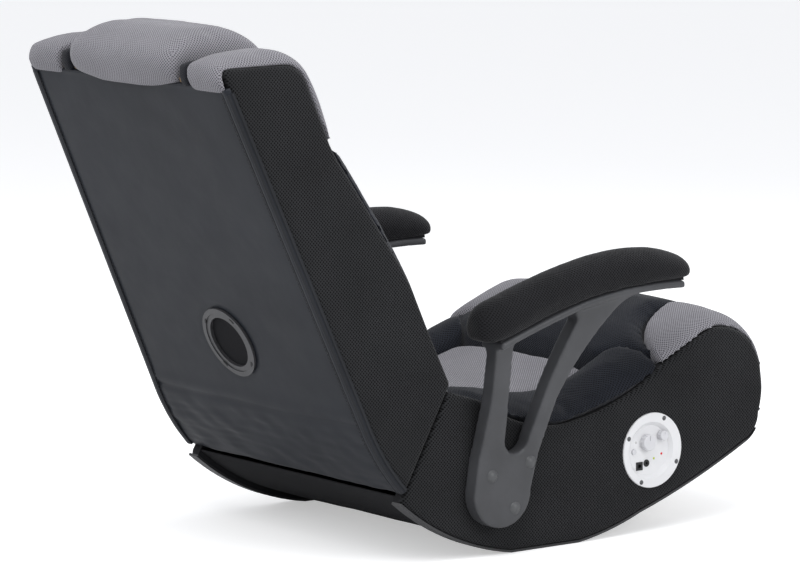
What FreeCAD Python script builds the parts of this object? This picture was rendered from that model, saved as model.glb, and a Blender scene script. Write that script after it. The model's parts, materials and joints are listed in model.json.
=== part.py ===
import FreeCAD, Part
import os
from math import asin, atan2, cos, hypot, pi, radians, sin, sqrt
from FreeCAD import Matrix, Vector

# Floor rocker chair, millimetres. +Z is up, the sitter faces -Y, +X is the sitter's left.
# Profile points are (y, z) pairs, with y counted from the lowest point of the runners.

# Frame of the part: how far its origin lies behind the lowest point of the runners
ORIGIN_Y = 57.1

# Widths and sheet thicknesses
BODY_HALF_WIDTH = 235.0
COVER_T = 8.0
PANEL_T = 12.0
RAIL_T = 15.0
DECK_T = 12.0
EDGING_T = 3.0
BOARD_T = 4.5
VINYL_T = 1.5
SEAM_CLEAR = 0.3

# Hinge between seat and back, and the seam that runs down from it
HINGE = (150.0, 224.0)
SEAM_FOOT = (226.0, 92.0)
SEAM_GAP = 1.5
SEAT_CORNER_DROP = 6.5
BACK_CORNER_RISE = 3.5

# Seat side profile: seam along the top, from the rear to the front corner
SEAT_REAR_TOP = (101.0, 202.0)
SEAT_DIP_MID = (35.0, 168.0)
SEAT_DIP = (-30.0, 157.0)
SEAT_CLIMB_MID = (-105.0, 171.0)
SEAT_CLIMB = (-175.0, 201.0)
KNEE_REAR_MID = (-229.0, 232.5)
KNEE_REAR = (-290.0, 260.0)
KNEE_CREST_MID = (-345.0, 246.0)
KNEE_FRONT = (-374.0, 190.0)
FRONT_MID = (-376.0, 165.0)
FRONT_LOW = (-371.0, 141.0)
CHIN_MID = (-365.0, 120.0)
CHIN = (-345.0, 102.0)

# Runners: a front and a rear rocking radius about the lowest point, with a resting flat
RUNNER_LOW_Y = -1.0
RUNNER_FRONT_R = 432.0
RUNNER_REAR_R = 360.5
RUNNER_FLAT_DEPTH = 4.0
RUNNER_BREAK_Y = -163.0
RUNNER_NOSE_SAG = 4.0
UNDERSIDE_RECESS = 10.0
UNDERSIDE_T = 2.5

# Frame inside the seat
DECK_TOP = 147.0
FRONT_RAIL_Y = -352.0
FRONT_RAIL_BASE = 110.0
FORMER_REAR = (-205.0, 168.0)
FORMER_TOP = (-285.0, 240.0)
FORMER_NOSE = (-335.0, 228.0)
FORMER_FRONT = (-350.0, 185.0)
REAR_RAIL_TOP = 25.0
REAR_RAIL_END = 135.0

# Seat cushions
PAD_HALF_WIDTH = 139.7
PAD_FRONT = -163.0
PAD_REAR = 152.0
PAD_RISE = 30.0
BOLSTER_RISE = 31.0
KNEE_RISE = 26.0
ROLL_REAR_SIDE = (200.0, -196.0)
PATCH_CREST = (128.0, -300.0)
PATCH_BOW = (163.0, -228.0)
PATCH_SEAM_Y = -205.0

# Back: its lean, the bend near its foot, and the length of its flat rear
RECLINE = 24.4
BEND = (284.0, 178.0)
REAR_FLAT = 476.0
BEND_R = 301.0
BEND_TURN = 18.6
BACK_TAPER = 2.2
TAPER_Z = 175.0

# Back side profile, as (height above the bend along the back, depth in front of the rear)
BACK_LOW = (55.0, 142.5)
BACK_LOW_END = (110.0, 143.5)
BACK_WAIST_MID = (145.0, 142.5)
BACK_WAIST = (179.0, 138.0)
BACK_SHOULDER = (305.0, 117.0)
BACK_NECK_MID = (328.0, 112.5)
BACK_NECK = (350.0, 110.6)
BACK_FACE_TOP = (432.0, 112.5)
BACK_CROWN_MID = (454.0, 108.5)
BACK_CROWN = (468.0, 96.0)
BACK_TOP_MID = (485.0, 58.0)
BACK_TOP = (507.0, 8.0)
FRONT_BOARD_U = 18.0
FRONT_BOARD_LOW = 118.0
FRONT_BOARD_HIGH = 92.0
TOP_RAIL_U = 438.0
TOP_RAIL_RISE = 36.0

# Back cushions and the rolls over the top
BACK_PAD_HALF_WIDTH = 137.0
BACK_BOLSTER_RISE = 14.0
BACK_PAD_RISE = 8.0
ROLL_RISE = 18.0
ROLL_FALL_U = 390.0
BELOW_ROLLS = 300.0
BEYOND_BACK = 800.0
HEADREST_RISE = 38.0
BAND_RISE = 8.0
HEADREST_HALF_WIDTH = 119.7
BAND_OUTER = 142.7
PIPING_R = 2.5

# Hinge hardware
LEAF_T = 4.0
LEAF_GAP = 0.5
KNUCKLE_R = 9.0
KNUCKLE_RELIEF = 3.5
PIN_R = 4.0
PIN_RUNNING = 0.05
PIN_HEAD_R = 7.0
PIN_HEAD_T = 3.0

# Arm brackets, pads and their fasteners
BRACKET_T = 24.0
BRACKET_LEAN = 28.0
LEAN_BASE = 130.0
RAIL_HALF_WIDTH = 23.0
ARM_RAIL_T = 10.0
PAD_BOARD_T = 5.0
PAD_BOARD_MARGIN = 4.0
ARM_PAD_HALF_WIDTH = 31.0
BOLT_POINTS = [(103.0, 108.0), (41.0, 120.0), (66.0, 63.0)]
BOLT_R = 4.0
BOLT_HEAD_R = 8.5
BOLT_DOME = 4.0
BOLT_CLEAR = 0.2
TEE_R = 11.0
TEE_BARREL_R = 5.5
TEE_BARREL = 9.0
TEE_T = 2.0
PAD_SCREW_YS = [55.0, -150.0]
PAD_SCREW_R = 2.0
PAD_SCREW_HEAD_R = 4.5
PAD_SCREW_GRIP = 7.0

# Round control panel on the sitter's right side
PANEL_CENTRE = (-181.0, 109.0)
PANEL_R = 49.7
PANEL_RIM_T = 3.5
PANEL_HUB_R = 43.0
PANEL_HUB_CLEAR = 1.0
DISH_R = 36.0
DISH_DEPTH = 5.0
DISH_FLOOR_T = 4.0
DISH_SHIFT = 3.0
PANEL_SCREW_PCR = 45.0
PANEL_SCREW_ANGLE = 25.0
PANEL_SCREW_R = 1.8
PANEL_SCREW_HEAD_R = 3.2
PANEL_SCREW_HEAD_T = 1.3
VOLUME_AT = (8.0, 11.0)
VOLUME_R = 10.5
BASS_AT = (-17.0, 18.0)
BASS_R = 6.5
KNOB_STAND = 0.5
KNOB_HEIGHT = 9.0
SPINDLE_R = 3.0
SPINDLE_RUNNING = 0.05
SPINDLE_LENGTH = 10.0
BUTTON_AT = (29.0, 0.0)
BUTTON_R = 3.5
BUTTON_PROUD = 2.5
LAMP_SPOTS = [(25.0, 12.0), (-6.0, -12.0), (-19.0, -7.0)]
LAMP_R = 1.7
AUDIO_AT = (7.0, -17.0)
AUDIO_R = 3.4
AUDIO_BORE = 1.75
POWER_AT = (19.0, -20.0)
POWER_HALF = 4.5
POWER_BORE = 2.75
SOCKET_DEPTH = 9.0
AMP_LENGTH = 84.0
AMP_HEIGHT = 60.0
AMP_DEPTH = 50.0
AMP_WALL = 2.5
AMP_BASE_Z = 72.0
BOARD_STAND = 4.0
PCB_T = 1.6

# Bass speaker in the back, with its port ring on the rear
PORT_U = 102.0
PORT_R = 49.6
PORT_BORE = 39.0
PORT_T = 4.0
PORT_SLOT_PCR = 44.3
PORT_SLOT_ANGLE = 38.0
GRILLE_T = 1.5
WOOFER_FLANGE_R = 62.0
WOOFER_FLANGE_T = 4.0
WOOFER_BASKET_R = 54.0
WOOFER_BASKET_DEPTH = 32.0
WOOFER_NECK_R = 30.0
WOOFER_WALL = 2.5
MAGNET_R = 30.0
MAGNET_T = 12.0
COIL_R = 13.0
COIL_CLEAR = 0.6
CONE_TRAVEL = 3.0
CONE_R = 45.0
CONE_RIM_R = 46.5
CONE_WALL = 1.5

# Pair of small speakers behind the headrest
SPEAKER_X = 62.0
SPEAKER_U = 398.0
SPEAKER_R = 38.0
SPEAKER_T = 14.0
SPEAKER_MAGNET_R = 20.0
SPEAKER_MAGNET_T = 16.0

# Values that follow from the ones above
PANEL_OUT = BODY_HALF_WIDTH - COVER_T
PANEL_IN = PANEL_OUT - PANEL_T
SEAM_LENGTH = hypot(SEAM_FOOT[0] - HINGE[0], SEAM_FOOT[1] - HINGE[1])
SEAM_D = ((SEAM_FOOT[0] - HINGE[0]) / SEAM_LENGTH, (SEAM_FOOT[1] - HINGE[1]) / SEAM_LENGTH)
SEAM_N = (-SEAM_D[1], SEAM_D[0])
ARM_X = BODY_HALF_WIDTH + BRACKET_T / 2.0 + BRACKET_LEAN
X_AXIS = Vector(1, 0, 0)
Y_AXIS = Vector(0, 1, 0)
Z_AXIS = Vector(0, 0, 1)


# Plane geometry

def circle_of(a, b, c):
    """Centre (y, z) and radius of the circle through three points."""
    d = 2.0 * (a[0] * (b[1] - c[1]) + b[0] * (c[1] - a[1]) + c[0] * (a[1] - b[1]))
    aa = a[0] ** 2 + a[1] ** 2
    bb = b[0] ** 2 + b[1] ** 2
    cc = c[0] ** 2 + c[1] ** 2
    y = (aa * (b[1] - c[1]) + bb * (c[1] - a[1]) + cc * (a[1] - b[1])) / d
    z = (aa * (c[0] - b[0]) + bb * (a[0] - c[0]) + cc * (b[0] - a[0])) / d
    return (y, z), hypot(a[0] - y, a[1] - z)


def on_seam(along, off):
    """Point that far down the seam line from the hinge, and off towards the back."""
    y = HINGE[0] + along * SEAM_D[0] + off * SEAM_N[0]
    z = HINGE[1] + along * SEAM_D[1] + off * SEAM_N[1]
    return (y, z)


def outline(x, start, *steps):
    """Closed wire at one x. A step is an end point, or a pair (middle, end) for an arc."""
    edges = []
    here = Vector(x, start[0], start[1])
    first = here
    for step in steps:
        if isinstance(step[0], tuple):
            there = Vector(x, step[1][0], step[1][1])
            middle = Vector(x, step[0][0], step[0][1])
            edges.append(Part.Arc(here, middle, there).toShape())
        else:
            there = Vector(x, step[0], step[1])
            edges.append(Part.makeLine(here, there))
        here = there
    if (here - first).Length > 1e-6:
        edges.append(Part.makeLine(here, first))
    return Part.Wire(edges)


def slab(thickness, start, *steps, x=0.0):
    """Flat plate of an outline, from x to x + thickness."""
    return Part.Face(outline(x, start, *steps)).extrude(Vector(thickness, 0, 0))


def box(x0, x1, y0, y1, z0, z1):
    return Part.makeBox(x1 - x0, y1 - y0, z1 - z0, Vector(x0, y0, z0))


def rod(radius, x0, x1, at):
    """Cylinder along X between two x values."""
    return Part.makeCylinder(radius, x1 - x0, Vector(x0, at[0], at[1]), X_AXIS)


def main_solid(shape):
    """Largest solid of a trimmed shape, without the offcuts of its edges."""
    return max(shape.Solids, key=lambda solid: solid.Volume)


def mirrored(shape):
    return shape.mirror(Vector(0, 0, 0), X_AXIS)


def turned_wire(points):
    """Closed wire through 3-D points: a plain point ends a line, a pair ends an arc."""
    edges = []
    here = points[0]
    for step in points[1:]:
        if isinstance(step, tuple):
            edges.append(Part.Arc(here, step[0], step[1]).toShape())
            here = step[1]
        else:
            edges.append(Part.makeLine(here, step))
            here = step
    if (here - points[0]).Length > 1e-6:
        edges.append(Part.makeLine(here, points[0]))
    return Part.Wire(edges)


# Seat profile

def runner_steps(inset):
    """Runner from the chin back to the seam foot, moved in by inset, as outline steps."""
    front_c = (RUNNER_LOW_Y, RUNNER_FRONT_R - RUNNER_FLAT_DEPTH)
    rear_c = (RUNNER_LOW_Y, RUNNER_REAR_R - RUNNER_FLAT_DEPTH)
    front_r = RUNNER_FRONT_R - inset
    rear_r = RUNNER_REAR_R - inset

    def front_at(angle):
        return (front_c[0] - front_r * sin(angle), front_c[1] - front_r * cos(angle))

    def rear_at(angle):
        return (rear_c[0] + rear_r * sin(angle), rear_c[1] - rear_r * cos(angle))

    break_angle = asin((RUNNER_LOW_Y - RUNNER_BREAK_Y) / RUNNER_FRONT_R)
    flat_front = sqrt(front_r ** 2 - (front_c[1] - inset) ** 2)
    flat_rear = sqrt(rear_r ** 2 - (rear_c[1] - inset) ** 2)
    front_angle = asin(flat_front / front_r)
    rear_angle = asin(flat_rear / rear_r)
    broken = front_at(break_angle)
    chin_off = inset / hypot(1.0, 0.5)
    chin = (CHIN[0] + chin_off * 0.5, CHIN[1] + chin_off)
    chord = hypot(chin[0] - broken[0], chin[1] - broken[1])
    nose = ((chin[0] + broken[0]) / 2.0 + RUNNER_NOSE_SAG * (broken[1] - chin[1]) / chord,
            (chin[1] + broken[1]) / 2.0 + RUNNER_NOSE_SAG * (chin[0] - broken[0]) / chord)
    # The rear arc ends where it meets the seat's side of the seam
    along = rear_end(rear_c, rear_r)
    foot = on_seam(along, -SEAM_GAP)
    end_angle = atan2(foot[0] - rear_c[0], rear_c[1] - foot[1])
    return [chin, (nose, broken),
            (front_at((break_angle + front_angle) / 2.0), front_at(front_angle)),
            rear_at(rear_angle),
            (rear_at((rear_angle + end_angle) / 2.0), foot)]


def rear_end(centre, radius):
    """How far down the seam the rear runner arc crosses it."""
    start = on_seam(0.0, -SEAM_GAP)
    py = start[0] - centre[0]
    pz = start[1] - centre[1]
    b = py * SEAM_D[0] + pz * SEAM_D[1]
    c = py ** 2 + pz ** 2 - radius ** 2
    return -b + sqrt(b * b - c)


def seat_outline(inset):
    """Steps round the whole seat side, with the runner moved in by inset."""
    corner = on_seam(SEAT_CORNER_DROP, -SEAM_GAP)
    top = [SEAT_REAR_TOP, (SEAT_DIP_MID, SEAT_DIP), (SEAT_CLIMB_MID, SEAT_CLIMB),
           (KNEE_REAR_MID, KNEE_REAR), (KNEE_CREST_MID, KNEE_FRONT), (FRONT_MID, FRONT_LOW)]
    runner = runner_steps(inset)
    return [corner] + top + [(CHIN_MID, runner[0])] + runner[1:]


def seat_top(y):
    """Height of the side seam of the seat at one y."""
    arcs = [(SEAT_REAR_TOP, SEAT_DIP_MID, SEAT_DIP, -1.0), (SEAT_DIP, SEAT_CLIMB_MID, SEAT_CLIMB, -1.0),
            (SEAT_CLIMB, KNEE_REAR_MID, KNEE_REAR, 1.0)]
    if y > SEAT_REAR_TOP[0]:
        corner = on_seam(SEAT_CORNER_DROP, -SEAM_GAP)
        share = (y - SEAT_REAR_TOP[0]) / (corner[0] - SEAT_REAR_TOP[0])
        return SEAT_REAR_TOP[1] + share * (corner[1] - SEAT_REAR_TOP[1])
    for start, middle, end, side in arcs:
        if y >= end[0]:
            centre, radius = circle_of(start, middle, end)
            return centre[1] + side * sqrt(radius ** 2 - (y - centre[0]) ** 2)
    return KNEE_REAR[1]


def seat_side(x0, x1):
    """Side of the seat between two x values, without the edging on its runner."""
    return slab(x1 - x0, *seat_outline(EDGING_T), x=x0)


def bolt_holes(radius, x0, x1):
    holes = [rod(radius, x0, x1, at) for at in BOLT_POINTS]
    return Part.makeCompound(holes)


def seat_side_cover():
    cover = seat_side(PANEL_OUT, BODY_HALF_WIDTH)
    return cover.cut(bolt_holes(BOLT_R + BOLT_CLEAR, PANEL_OUT - 1.0, BODY_HALF_WIDTH + 1.0))


def seat_side_panel():
    panel = seat_side(PANEL_IN, PANEL_OUT)
    return panel.cut(bolt_holes(TEE_BARREL_R, PANEL_IN - 1.0, PANEL_OUT + 1.0))


def panel_hole():
    """Hole for the hub of the control panel, in the right side only."""
    return rod(PANEL_HUB_R + PANEL_HUB_CLEAR, -BODY_HALF_WIDTH - 1.0, -PANEL_IN + 1.0, PANEL_CENTRE)


def runner_edging():
    """Strip round the bottom edge of one side, which the chair stands on."""
    whole = slab(BODY_HALF_WIDTH - PANEL_IN, *seat_outline(0.0), x=PANEL_IN)
    return whole.cut(seat_side(PANEL_IN - 1.0, BODY_HALF_WIDTH + 1.0))


def seat_front_rail():
    return box(-PANEL_IN, PANEL_IN, FRONT_RAIL_Y, FRONT_RAIL_Y + RAIL_T, FRONT_RAIL_BASE, DECK_TOP)


def rear_rail_face(depth):
    return [on_seam(REAR_RAIL_TOP, -depth), on_seam(REAR_RAIL_END, -depth)]


def seat_rear_rail():
    near = rear_rail_face(SEAM_GAP + SEAM_CLEAR)
    far = rear_rail_face(SEAM_GAP + SEAM_CLEAR + RAIL_T)
    return slab(2.0 * PANEL_IN, near[0], near[1], far[1], far[0], x=-PANEL_IN)


def knee_former():
    """Laminated block on the deck's front edge that carries the knee roll."""
    return slab(2.0 * PANEL_IN, (FORMER_REAR[0], DECK_TOP), FORMER_REAR, FORMER_TOP, FORMER_NOSE, FORMER_FRONT,
                (FRONT_RAIL_Y, DECK_TOP), x=-PANEL_IN)


def seat_deck():
    """Plywood deck between the rails."""
    rear_top = on_seam((HINGE[1] - DECK_TOP) / -SEAM_D[1], -SEAM_GAP - SEAM_CLEAR - RAIL_T)
    deck = box(-PANEL_IN, PANEL_IN, FRONT_RAIL_Y + RAIL_T, rear_top[0] + RAIL_T, DECK_TOP - DECK_T, DECK_TOP)
    return deck.cut(seat_rear_rail()).cut(behind_rail())


def behind_rail():
    """Space behind the rear rail of the seat, as a tool for cutting."""
    near = rear_rail_face(SEAM_GAP + SEAM_CLEAR)
    reach = RAIL_T * 4.0
    return slab(2.0 * PANEL_IN, on_seam(0.0, -SEAM_GAP - SEAM_CLEAR), near[1],
                on_seam(REAR_RAIL_END, reach), on_seam(0.0, reach), x=-PANEL_IN)


def seat_bottom_cover():
    """Cloth stretched between the sides, set up from the runners."""
    width = 2.0 * PANEL_IN
    under = slab(width, *seat_outline(UNDERSIDE_RECESS), x=-PANEL_IN)
    over = slab(width, *seat_outline(UNDERSIDE_RECESS + UNDERSIDE_T), x=-PANEL_IN)
    behind_front = box(-PANEL_IN, PANEL_IN, FRONT_RAIL_Y + RAIL_T, SEAM_FOOT[0], 0.0, DECK_TOP)
    return main_solid(under.cut(over).common(behind_front).cut(seat_rear_rail()).cut(behind_rail()))


# Seat cushions

def knuckle_room(x0, x1):
    """Clear round space about the hinge axis."""
    return rod(KNUCKLE_R + KNUCKLE_RELIEF, x0, x1, HINGE)


def seat_frame_cut(shape):
    """Cushion without what the sides, deck, rails and hinges take up."""
    whole_side = slab(BODY_HALF_WIDTH - PANEL_IN, *seat_outline(0.0), x=PANEL_IN)
    for side in (whole_side, seat_side(PANEL_IN, BODY_HALF_WIDTH), seat_deck(), seat_front_rail(),
                 seat_rear_rail(), knee_former(),
                 knuckle_room(PANEL_IN - 4.0 * LEAF_T, PANEL_IN + SEAM_CLEAR), seat_leaf()):
        shape = shape.cut(side).cut(mirrored(side))
    return main_solid(shape.cut(behind_rail()))


def centre_section(y, half_width, edge, crown):
    """Section of the centre pad at one y: drawn-in sides and a crowned top."""
    shoulder = half_width - 9.0
    return turned_wire([
        Vector(-half_width, y, DECK_TOP), Vector(-half_width, y, edge - 8.0),
        (Vector(-half_width + 2.6, y, edge - 2.4), Vector(-shoulder, y, edge)),
        (Vector(0, y, crown), Vector(shoulder, y, edge)),
        (Vector(half_width - 2.6, y, edge - 2.4), Vector(half_width, y, edge - 8.0)),
        Vector(half_width, y, DECK_TOP)])


def seat_centre_pad():
    stations = [(PAD_FRONT, 0.55), (-150.0, 0.8), (-110.0, 1.0), (-50.0, 1.05), (20.0, 1.0), (85.0, 0.7),
                (PAD_REAR, 0.08)]
    wires = []
    for y, share in stations:
        top = seat_top(y) + PAD_RISE * share
        wires.append(centre_section(y, PAD_HALF_WIDTH, top - 5.0 * share, top + 4.0 * share))
    return seat_frame_cut(Part.makeLoft(wires, True, False))


def bolster_section(y, inner, outer, inner_z, ridge_z, outer_z):
    """Section of a side bolster: up from the pad, over a ridge, down to the side seam."""
    ridge_x = inner + 0.33 * (outer - inner)
    return turned_wire([
        Vector(inner, y, DECK_TOP), Vector(inner, y, inner_z),
        (Vector(inner + 0.1 * (outer - inner), y, inner_z + 0.66 * (ridge_z - inner_z)),
         Vector(ridge_x, y, ridge_z)),
        (Vector(ridge_x + 0.45 * (outer - ridge_x), y, ridge_z - 0.27 * (ridge_z - outer_z)),
         Vector(outer, y, outer_z)),
        Vector(outer, y, DECK_TOP)])


def seat_bolster():
    stations = [(-228.0, 0.9), (-190.0, 1.3), (-150.0, 1.35), (-110.0, 1.15), (-50.0, 1.0), (20.0, 1.0),
                (85.0, 0.55), (PAD_REAR, 0.05)]
    wires = []
    for y, share in stations:
        side = seat_top(y)
        rise = BOLSTER_RISE * share
        wires.append(bolster_section(y, PAD_HALF_WIDTH + 2.0 * SEAM_CLEAR, BODY_HALF_WIDTH,
                                     side + 0.72 * rise, side + rise, side + 1.5))
    bolster = Part.makeLoft(wires, True, False)
    return seat_frame_cut(bolster.cut(knee_region(SEAM_CLEAR * 2.0)))


def knee_region(grow):
    """Plan of the knee roll, one half wide plus the other, grown to the rear by grow."""
    rear_mid = PAD_FRONT - 2.0 * SEAM_CLEAR + grow
    side = (ROLL_REAR_SIDE[0], ROLL_REAR_SIDE[1] + grow)
    seam = PATCH_SEAM_Y + 1.5 + grow
    wide = BODY_HALF_WIDTH + 5.0
    front = FRONT_RAIL_Y - 80.0
    points = [(-wide, seam), (-side[0], side[1]), (-PAD_HALF_WIDTH, rear_mid), (PAD_HALF_WIDTH, rear_mid),
              (side[0], side[1]), (wide, seam), (wide, front), (-wide, front)]
    base = DECK_TOP - 60.0
    corners = [Vector(px, py, base) for px, py in points]
    return Part.Face(turned_wire(corners)).extrude(Vector(0, 0, 260))


def whole_knee_roll():
    """One roll across the full width, before it is parted into roll and corners."""
    edge_steps = [(0.0, 0.06), (5.0, 0.3), (12.0, 0.5), (30.0, 0.72), (70.0, 0.87), (120.0, 0.96)]
    stations = [(BODY_HALF_WIDTH - step, share) for step, share in edge_steps] + [(0.0, 1.0)]
    stations += [(-x, share) for x, share in reversed(stations[:-1])]
    rear = PAD_FRONT + 30.0
    wires = []
    for x, share in stations:
        r = KNEE_RISE * share
        wires.append(outline(
            x, (rear, DECK_TOP - 4.0), (rear, seat_top(rear) + 1.3 * r),
            ((SEAT_CLIMB[0] + 20.0, seat_top(SEAT_CLIMB[0] + 20.0) + 1.35 * r),
             (SEAT_CLIMB[0] - 20.0, seat_top(SEAT_CLIMB[0] - 20.0) + 1.4 * r)),
            ((KNEE_REAR_MID[0] - 10.0, seat_top(KNEE_REAR_MID[0] - 10.0) + 1.2 * r),
             (KNEE_REAR[0] - 2.0, KNEE_REAR[1] + 1.0 + r)),
            ((KNEE_CREST_MID[0] - 0.65 * r, KNEE_CREST_MID[1] + 0.7 * r), (KNEE_FRONT[0] - 0.6 * r, KNEE_FRONT[1])),
            ((FRONT_MID[0] - 0.55 * r, FRONT_MID[1]), (FRONT_LOW[0] - 0.35 * r, FRONT_LOW[1])),
            ((CHIN_MID[0] - 0.12 * r, CHIN_MID[1]), (CHIN[0], FRONT_RAIL_BASE - 6.0)),
            (CHIN[0], DECK_TOP - 4.0)))
    roll = Part.makeLoft(wires, True, True)
    return roll.common(knee_region(0.0))


def patch_region():
    """Plan of one pale corner of the knee roll."""
    crest, bow = PATCH_CREST, PATCH_BOW
    wide = BODY_HALF_WIDTH + 5.0
    front = FRONT_RAIL_Y - 80.0
    seam = (wide, PATCH_SEAM_Y + 8.0)
    base = DECK_TOP - 60.0
    wire = turned_wire([
        Vector(crest[0], crest[1], base), (Vector(bow[0], bow[1], base), Vector(wide, seam[1], base)),
        Vector(wide, front, base), Vector(crest[0] - 6.0, front, base)])
    return Part.Face(wire).extrude(Vector(0, 0, 260))


def knee_parts():
    """The dark roll and the left pale corner."""
    patch = patch_region()
    trim = seat_frame_cut(whole_knee_roll())
    corner = trim.common(patch)
    roll = trim.cut(patch).cut(mirrored(patch))
    return main_solid(roll), main_solid(corner)


# Arm brackets and pads

def lean(shape):
    """Outward lean of a bracket above the foot plate."""
    top = 290.0
    shear = Matrix()
    shear.A13 = BRACKET_LEAN / (top - LEAN_BASE)
    shear.A14 = -LEAN_BASE * shear.A13
    return shape.transformGeometry(shear)


def rail_top():
    """Start and steps along the top of the arm rail, from the tip to the rear."""
    return (-184.0, 340.0), [((-95.0, 338.0), (-14.0, 326.0)), ((54.0, 306.0), (118.0, 284.0))]


def bracket_profile(width):
    start, top = rail_top()
    outer = slab(width, (131.0, 84.0), (121.0, 150.0), (114.0, 210.0), (115.0, 262.0), (118.0, 284.0),
                 (top[1][0], top[0][1]), (top[0][0], start), (-181.0, 330.5), (-130.0, 331.0),
                 ((-96.0, 324.5), (-68.0, 305.0)), ((-24.0, 253.0), (7.0, 199.0)), (39.0, 86.0),
                 ((88.0, 39.0), (131.0, 84.0)), x=BODY_HALF_WIDTH)
    gap = slab(width, (46.0, 152.0), ((66.0, 134.0), (84.0, 156.0)), (87.0, 230.0), (88.0, 270.0),
               ((86.0, 279.5), (78.0, 285.0)), (19.0, 305.5), ((-7.0, 311.0), (-12.0, 302.0)),
               ((13.0, 250.0), (31.0, 201.0)), x=BODY_HALF_WIDTH)
    return outer.cut(gap)


def arm_rail(half_width, low, high):
    """Curved strip along the top of the bracket, between two heights above the rail top."""
    start, top = rail_top()

    def lifted(point, by):
        return (point[0] + 0.12 * by, point[1] + by)

    end = top[1][1]
    return slab(2.0 * half_width, lifted(start, low),
                (lifted(top[0][0], low), lifted(top[0][1], low)), (lifted(top[1][0], low), lifted(end, low)),
                lifted(end, high), (lifted(top[1][0], high), lifted(top[0][1], high)),
                (lifted(top[0][0], high), lifted(start, high)), x=ARM_X - half_width)


def arm_bracket():
    plate = bracket_profile(BRACKET_T)
    reach = 400.0
    foot = plate.common(box(0.0, reach, -reach, reach, 0.0, LEAN_BASE))
    arm = lean(plate.common(box(0.0, reach, -reach, reach, LEAN_BASE, reach)))
    rail = arm_rail(RAIL_HALF_WIDTH, -ARM_RAIL_T, 0.0)
    bracket = foot.fuse([arm, rail])
    bracket = bracket.cut(arm_rail(RAIL_HALF_WIDTH + BRACKET_T, 0.0, ARM_RAIL_T * 2.0))
    holes = bolt_holes(BOLT_R + BOLT_CLEAR, BODY_HALF_WIDTH - 1.0, BODY_HALF_WIDTH + BRACKET_T + 1.0)
    bracket = bracket.cut(holes)
    bracket = bracket.cut(pad_screw_holes(PAD_SCREW_R + BOLT_CLEAR, -3.0 * ARM_RAIL_T, ARM_RAIL_T))
    return bracket.cut(pad_screw_holes(PAD_SCREW_HEAD_R + BOLT_CLEAR, -3.0 * ARM_RAIL_T, -PAD_SCREW_GRIP))


def arm_rail_z(y):
    """Height of the rail top at one y."""
    start, top = rail_top()
    arcs = [(start, top[0][0], top[0][1]), (top[0][1], top[1][0], top[1][1])]
    for a, m, b in arcs:
        if y <= b[0]:
            centre, radius = circle_of(a, m, b)
            side = 1.0 if m[1] > centre[1] else -1.0
            return centre[1] + side * sqrt(radius ** 2 - (y - centre[0]) ** 2)
    return top[1][1][1]


def pad_screw_holes(radius, low, high):
    holes = []
    for y in PAD_SCREW_YS:
        z = arm_rail_z(y)
        holes.append(Part.makeCylinder(radius, high - low, Vector(ARM_X, y, z + low), Z_AXIS))
    return Part.makeCompound(holes)


def arm_pad_board():
    board = arm_rail(RAIL_HALF_WIDTH - PAD_BOARD_MARGIN, 0.0, PAD_BOARD_T)
    return board.cut(pad_screw_holes(PAD_SCREW_R, -1.0, PAD_BOARD_T - 1.0))


def pad_section(y, half_width, low, high):
    """Section of an arm pad: flat below, full at the sides, crowned on top."""
    tall = high - low
    foot = 0.8 * half_width
    hip = 0.78 * half_width
    return turned_wire([
        Vector(ARM_X - foot, y, low),
        Vector(ARM_X + foot, y, low),
        (Vector(ARM_X + half_width, y, low + 0.32 * tall), Vector(ARM_X + hip, y, low + 0.76 * tall)),
        (Vector(ARM_X, y, high), Vector(ARM_X - hip, y, low + 0.76 * tall)),
        (Vector(ARM_X - half_width, y, low + 0.32 * tall), Vector(ARM_X - foot, y, low))])


def arm_pad():
    """Crowned pad that overhangs the rail at both ends."""
    stations = [(-200.0, 0.35, 344.0, 357.0), (-194.0, 0.72, 341.5, 366.0), (-172.0, 0.95, 340.0, 377.0),
                (-125.0, 1.0, 339.5, 386.0), (-60.0, 1.0, 334.5, 384.0), (10.0, 1.0, 320.5, 371.0),
                (70.0, 0.98, 301.0, 355.0), (115.0, 0.92, 286.0, 341.0), (140.0, 0.74, 285.0, 331.0),
                (150.0, 0.38, 296.0, 318.0)]
    wires = [pad_section(y, ARM_PAD_HALF_WIDTH * share, low, high) for y, share, low, high in stations]
    pad = Part.makeLoft(wires, True, False)
    under = arm_rail(2.0 * ARM_PAD_HALF_WIDTH, -3.0 * ARM_RAIL_T, SEAM_CLEAR)
    board = arm_rail(RAIL_HALF_WIDTH - PAD_BOARD_MARGIN + SEAM_CLEAR, -1.0, PAD_BOARD_T + SEAM_CLEAR)
    return pad.cut(under).cut(board)


def dome(radius, height, x, at, way):
    """Low round head on a face normal to X, standing out by way (1 or -1)."""
    ball = (radius ** 2 + height ** 2) / (2.0 * height)
    centre = Vector(x + way * (height - ball), at[0], at[1])
    sphere = Part.makeSphere(ball, centre)
    return sphere.common(rod(2.0 * radius, min(x, x + way * height), max(x, x + way * height), at))


def arm_bolts():
    outer = BODY_HALF_WIDTH + BRACKET_T
    bolts = []
    for at in BOLT_POINTS:
        shank = rod(BOLT_R, PANEL_IN + TEE_T, outer, at)
        bolt = shank.fuse(dome(BOLT_HEAD_R, BOLT_DOME, outer, at, 1.0))
        bolts += [bolt, mirrored(bolt)]
    return Part.makeCompound(bolts)


def arm_tee_nuts():
    nuts = []
    for at in BOLT_POINTS:
        flange = rod(TEE_R, PANEL_IN - TEE_T, PANEL_IN, at)
        barrel = rod(TEE_BARREL_R, PANEL_IN, PANEL_IN + TEE_BARREL, at)
        nut = flange.fuse(barrel).cut(rod(BOLT_R, PANEL_IN + TEE_T, PANEL_IN + TEE_BARREL + 1.0, at))
        nuts += [nut, mirrored(nut)]
    return Part.makeCompound(nuts)


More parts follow.
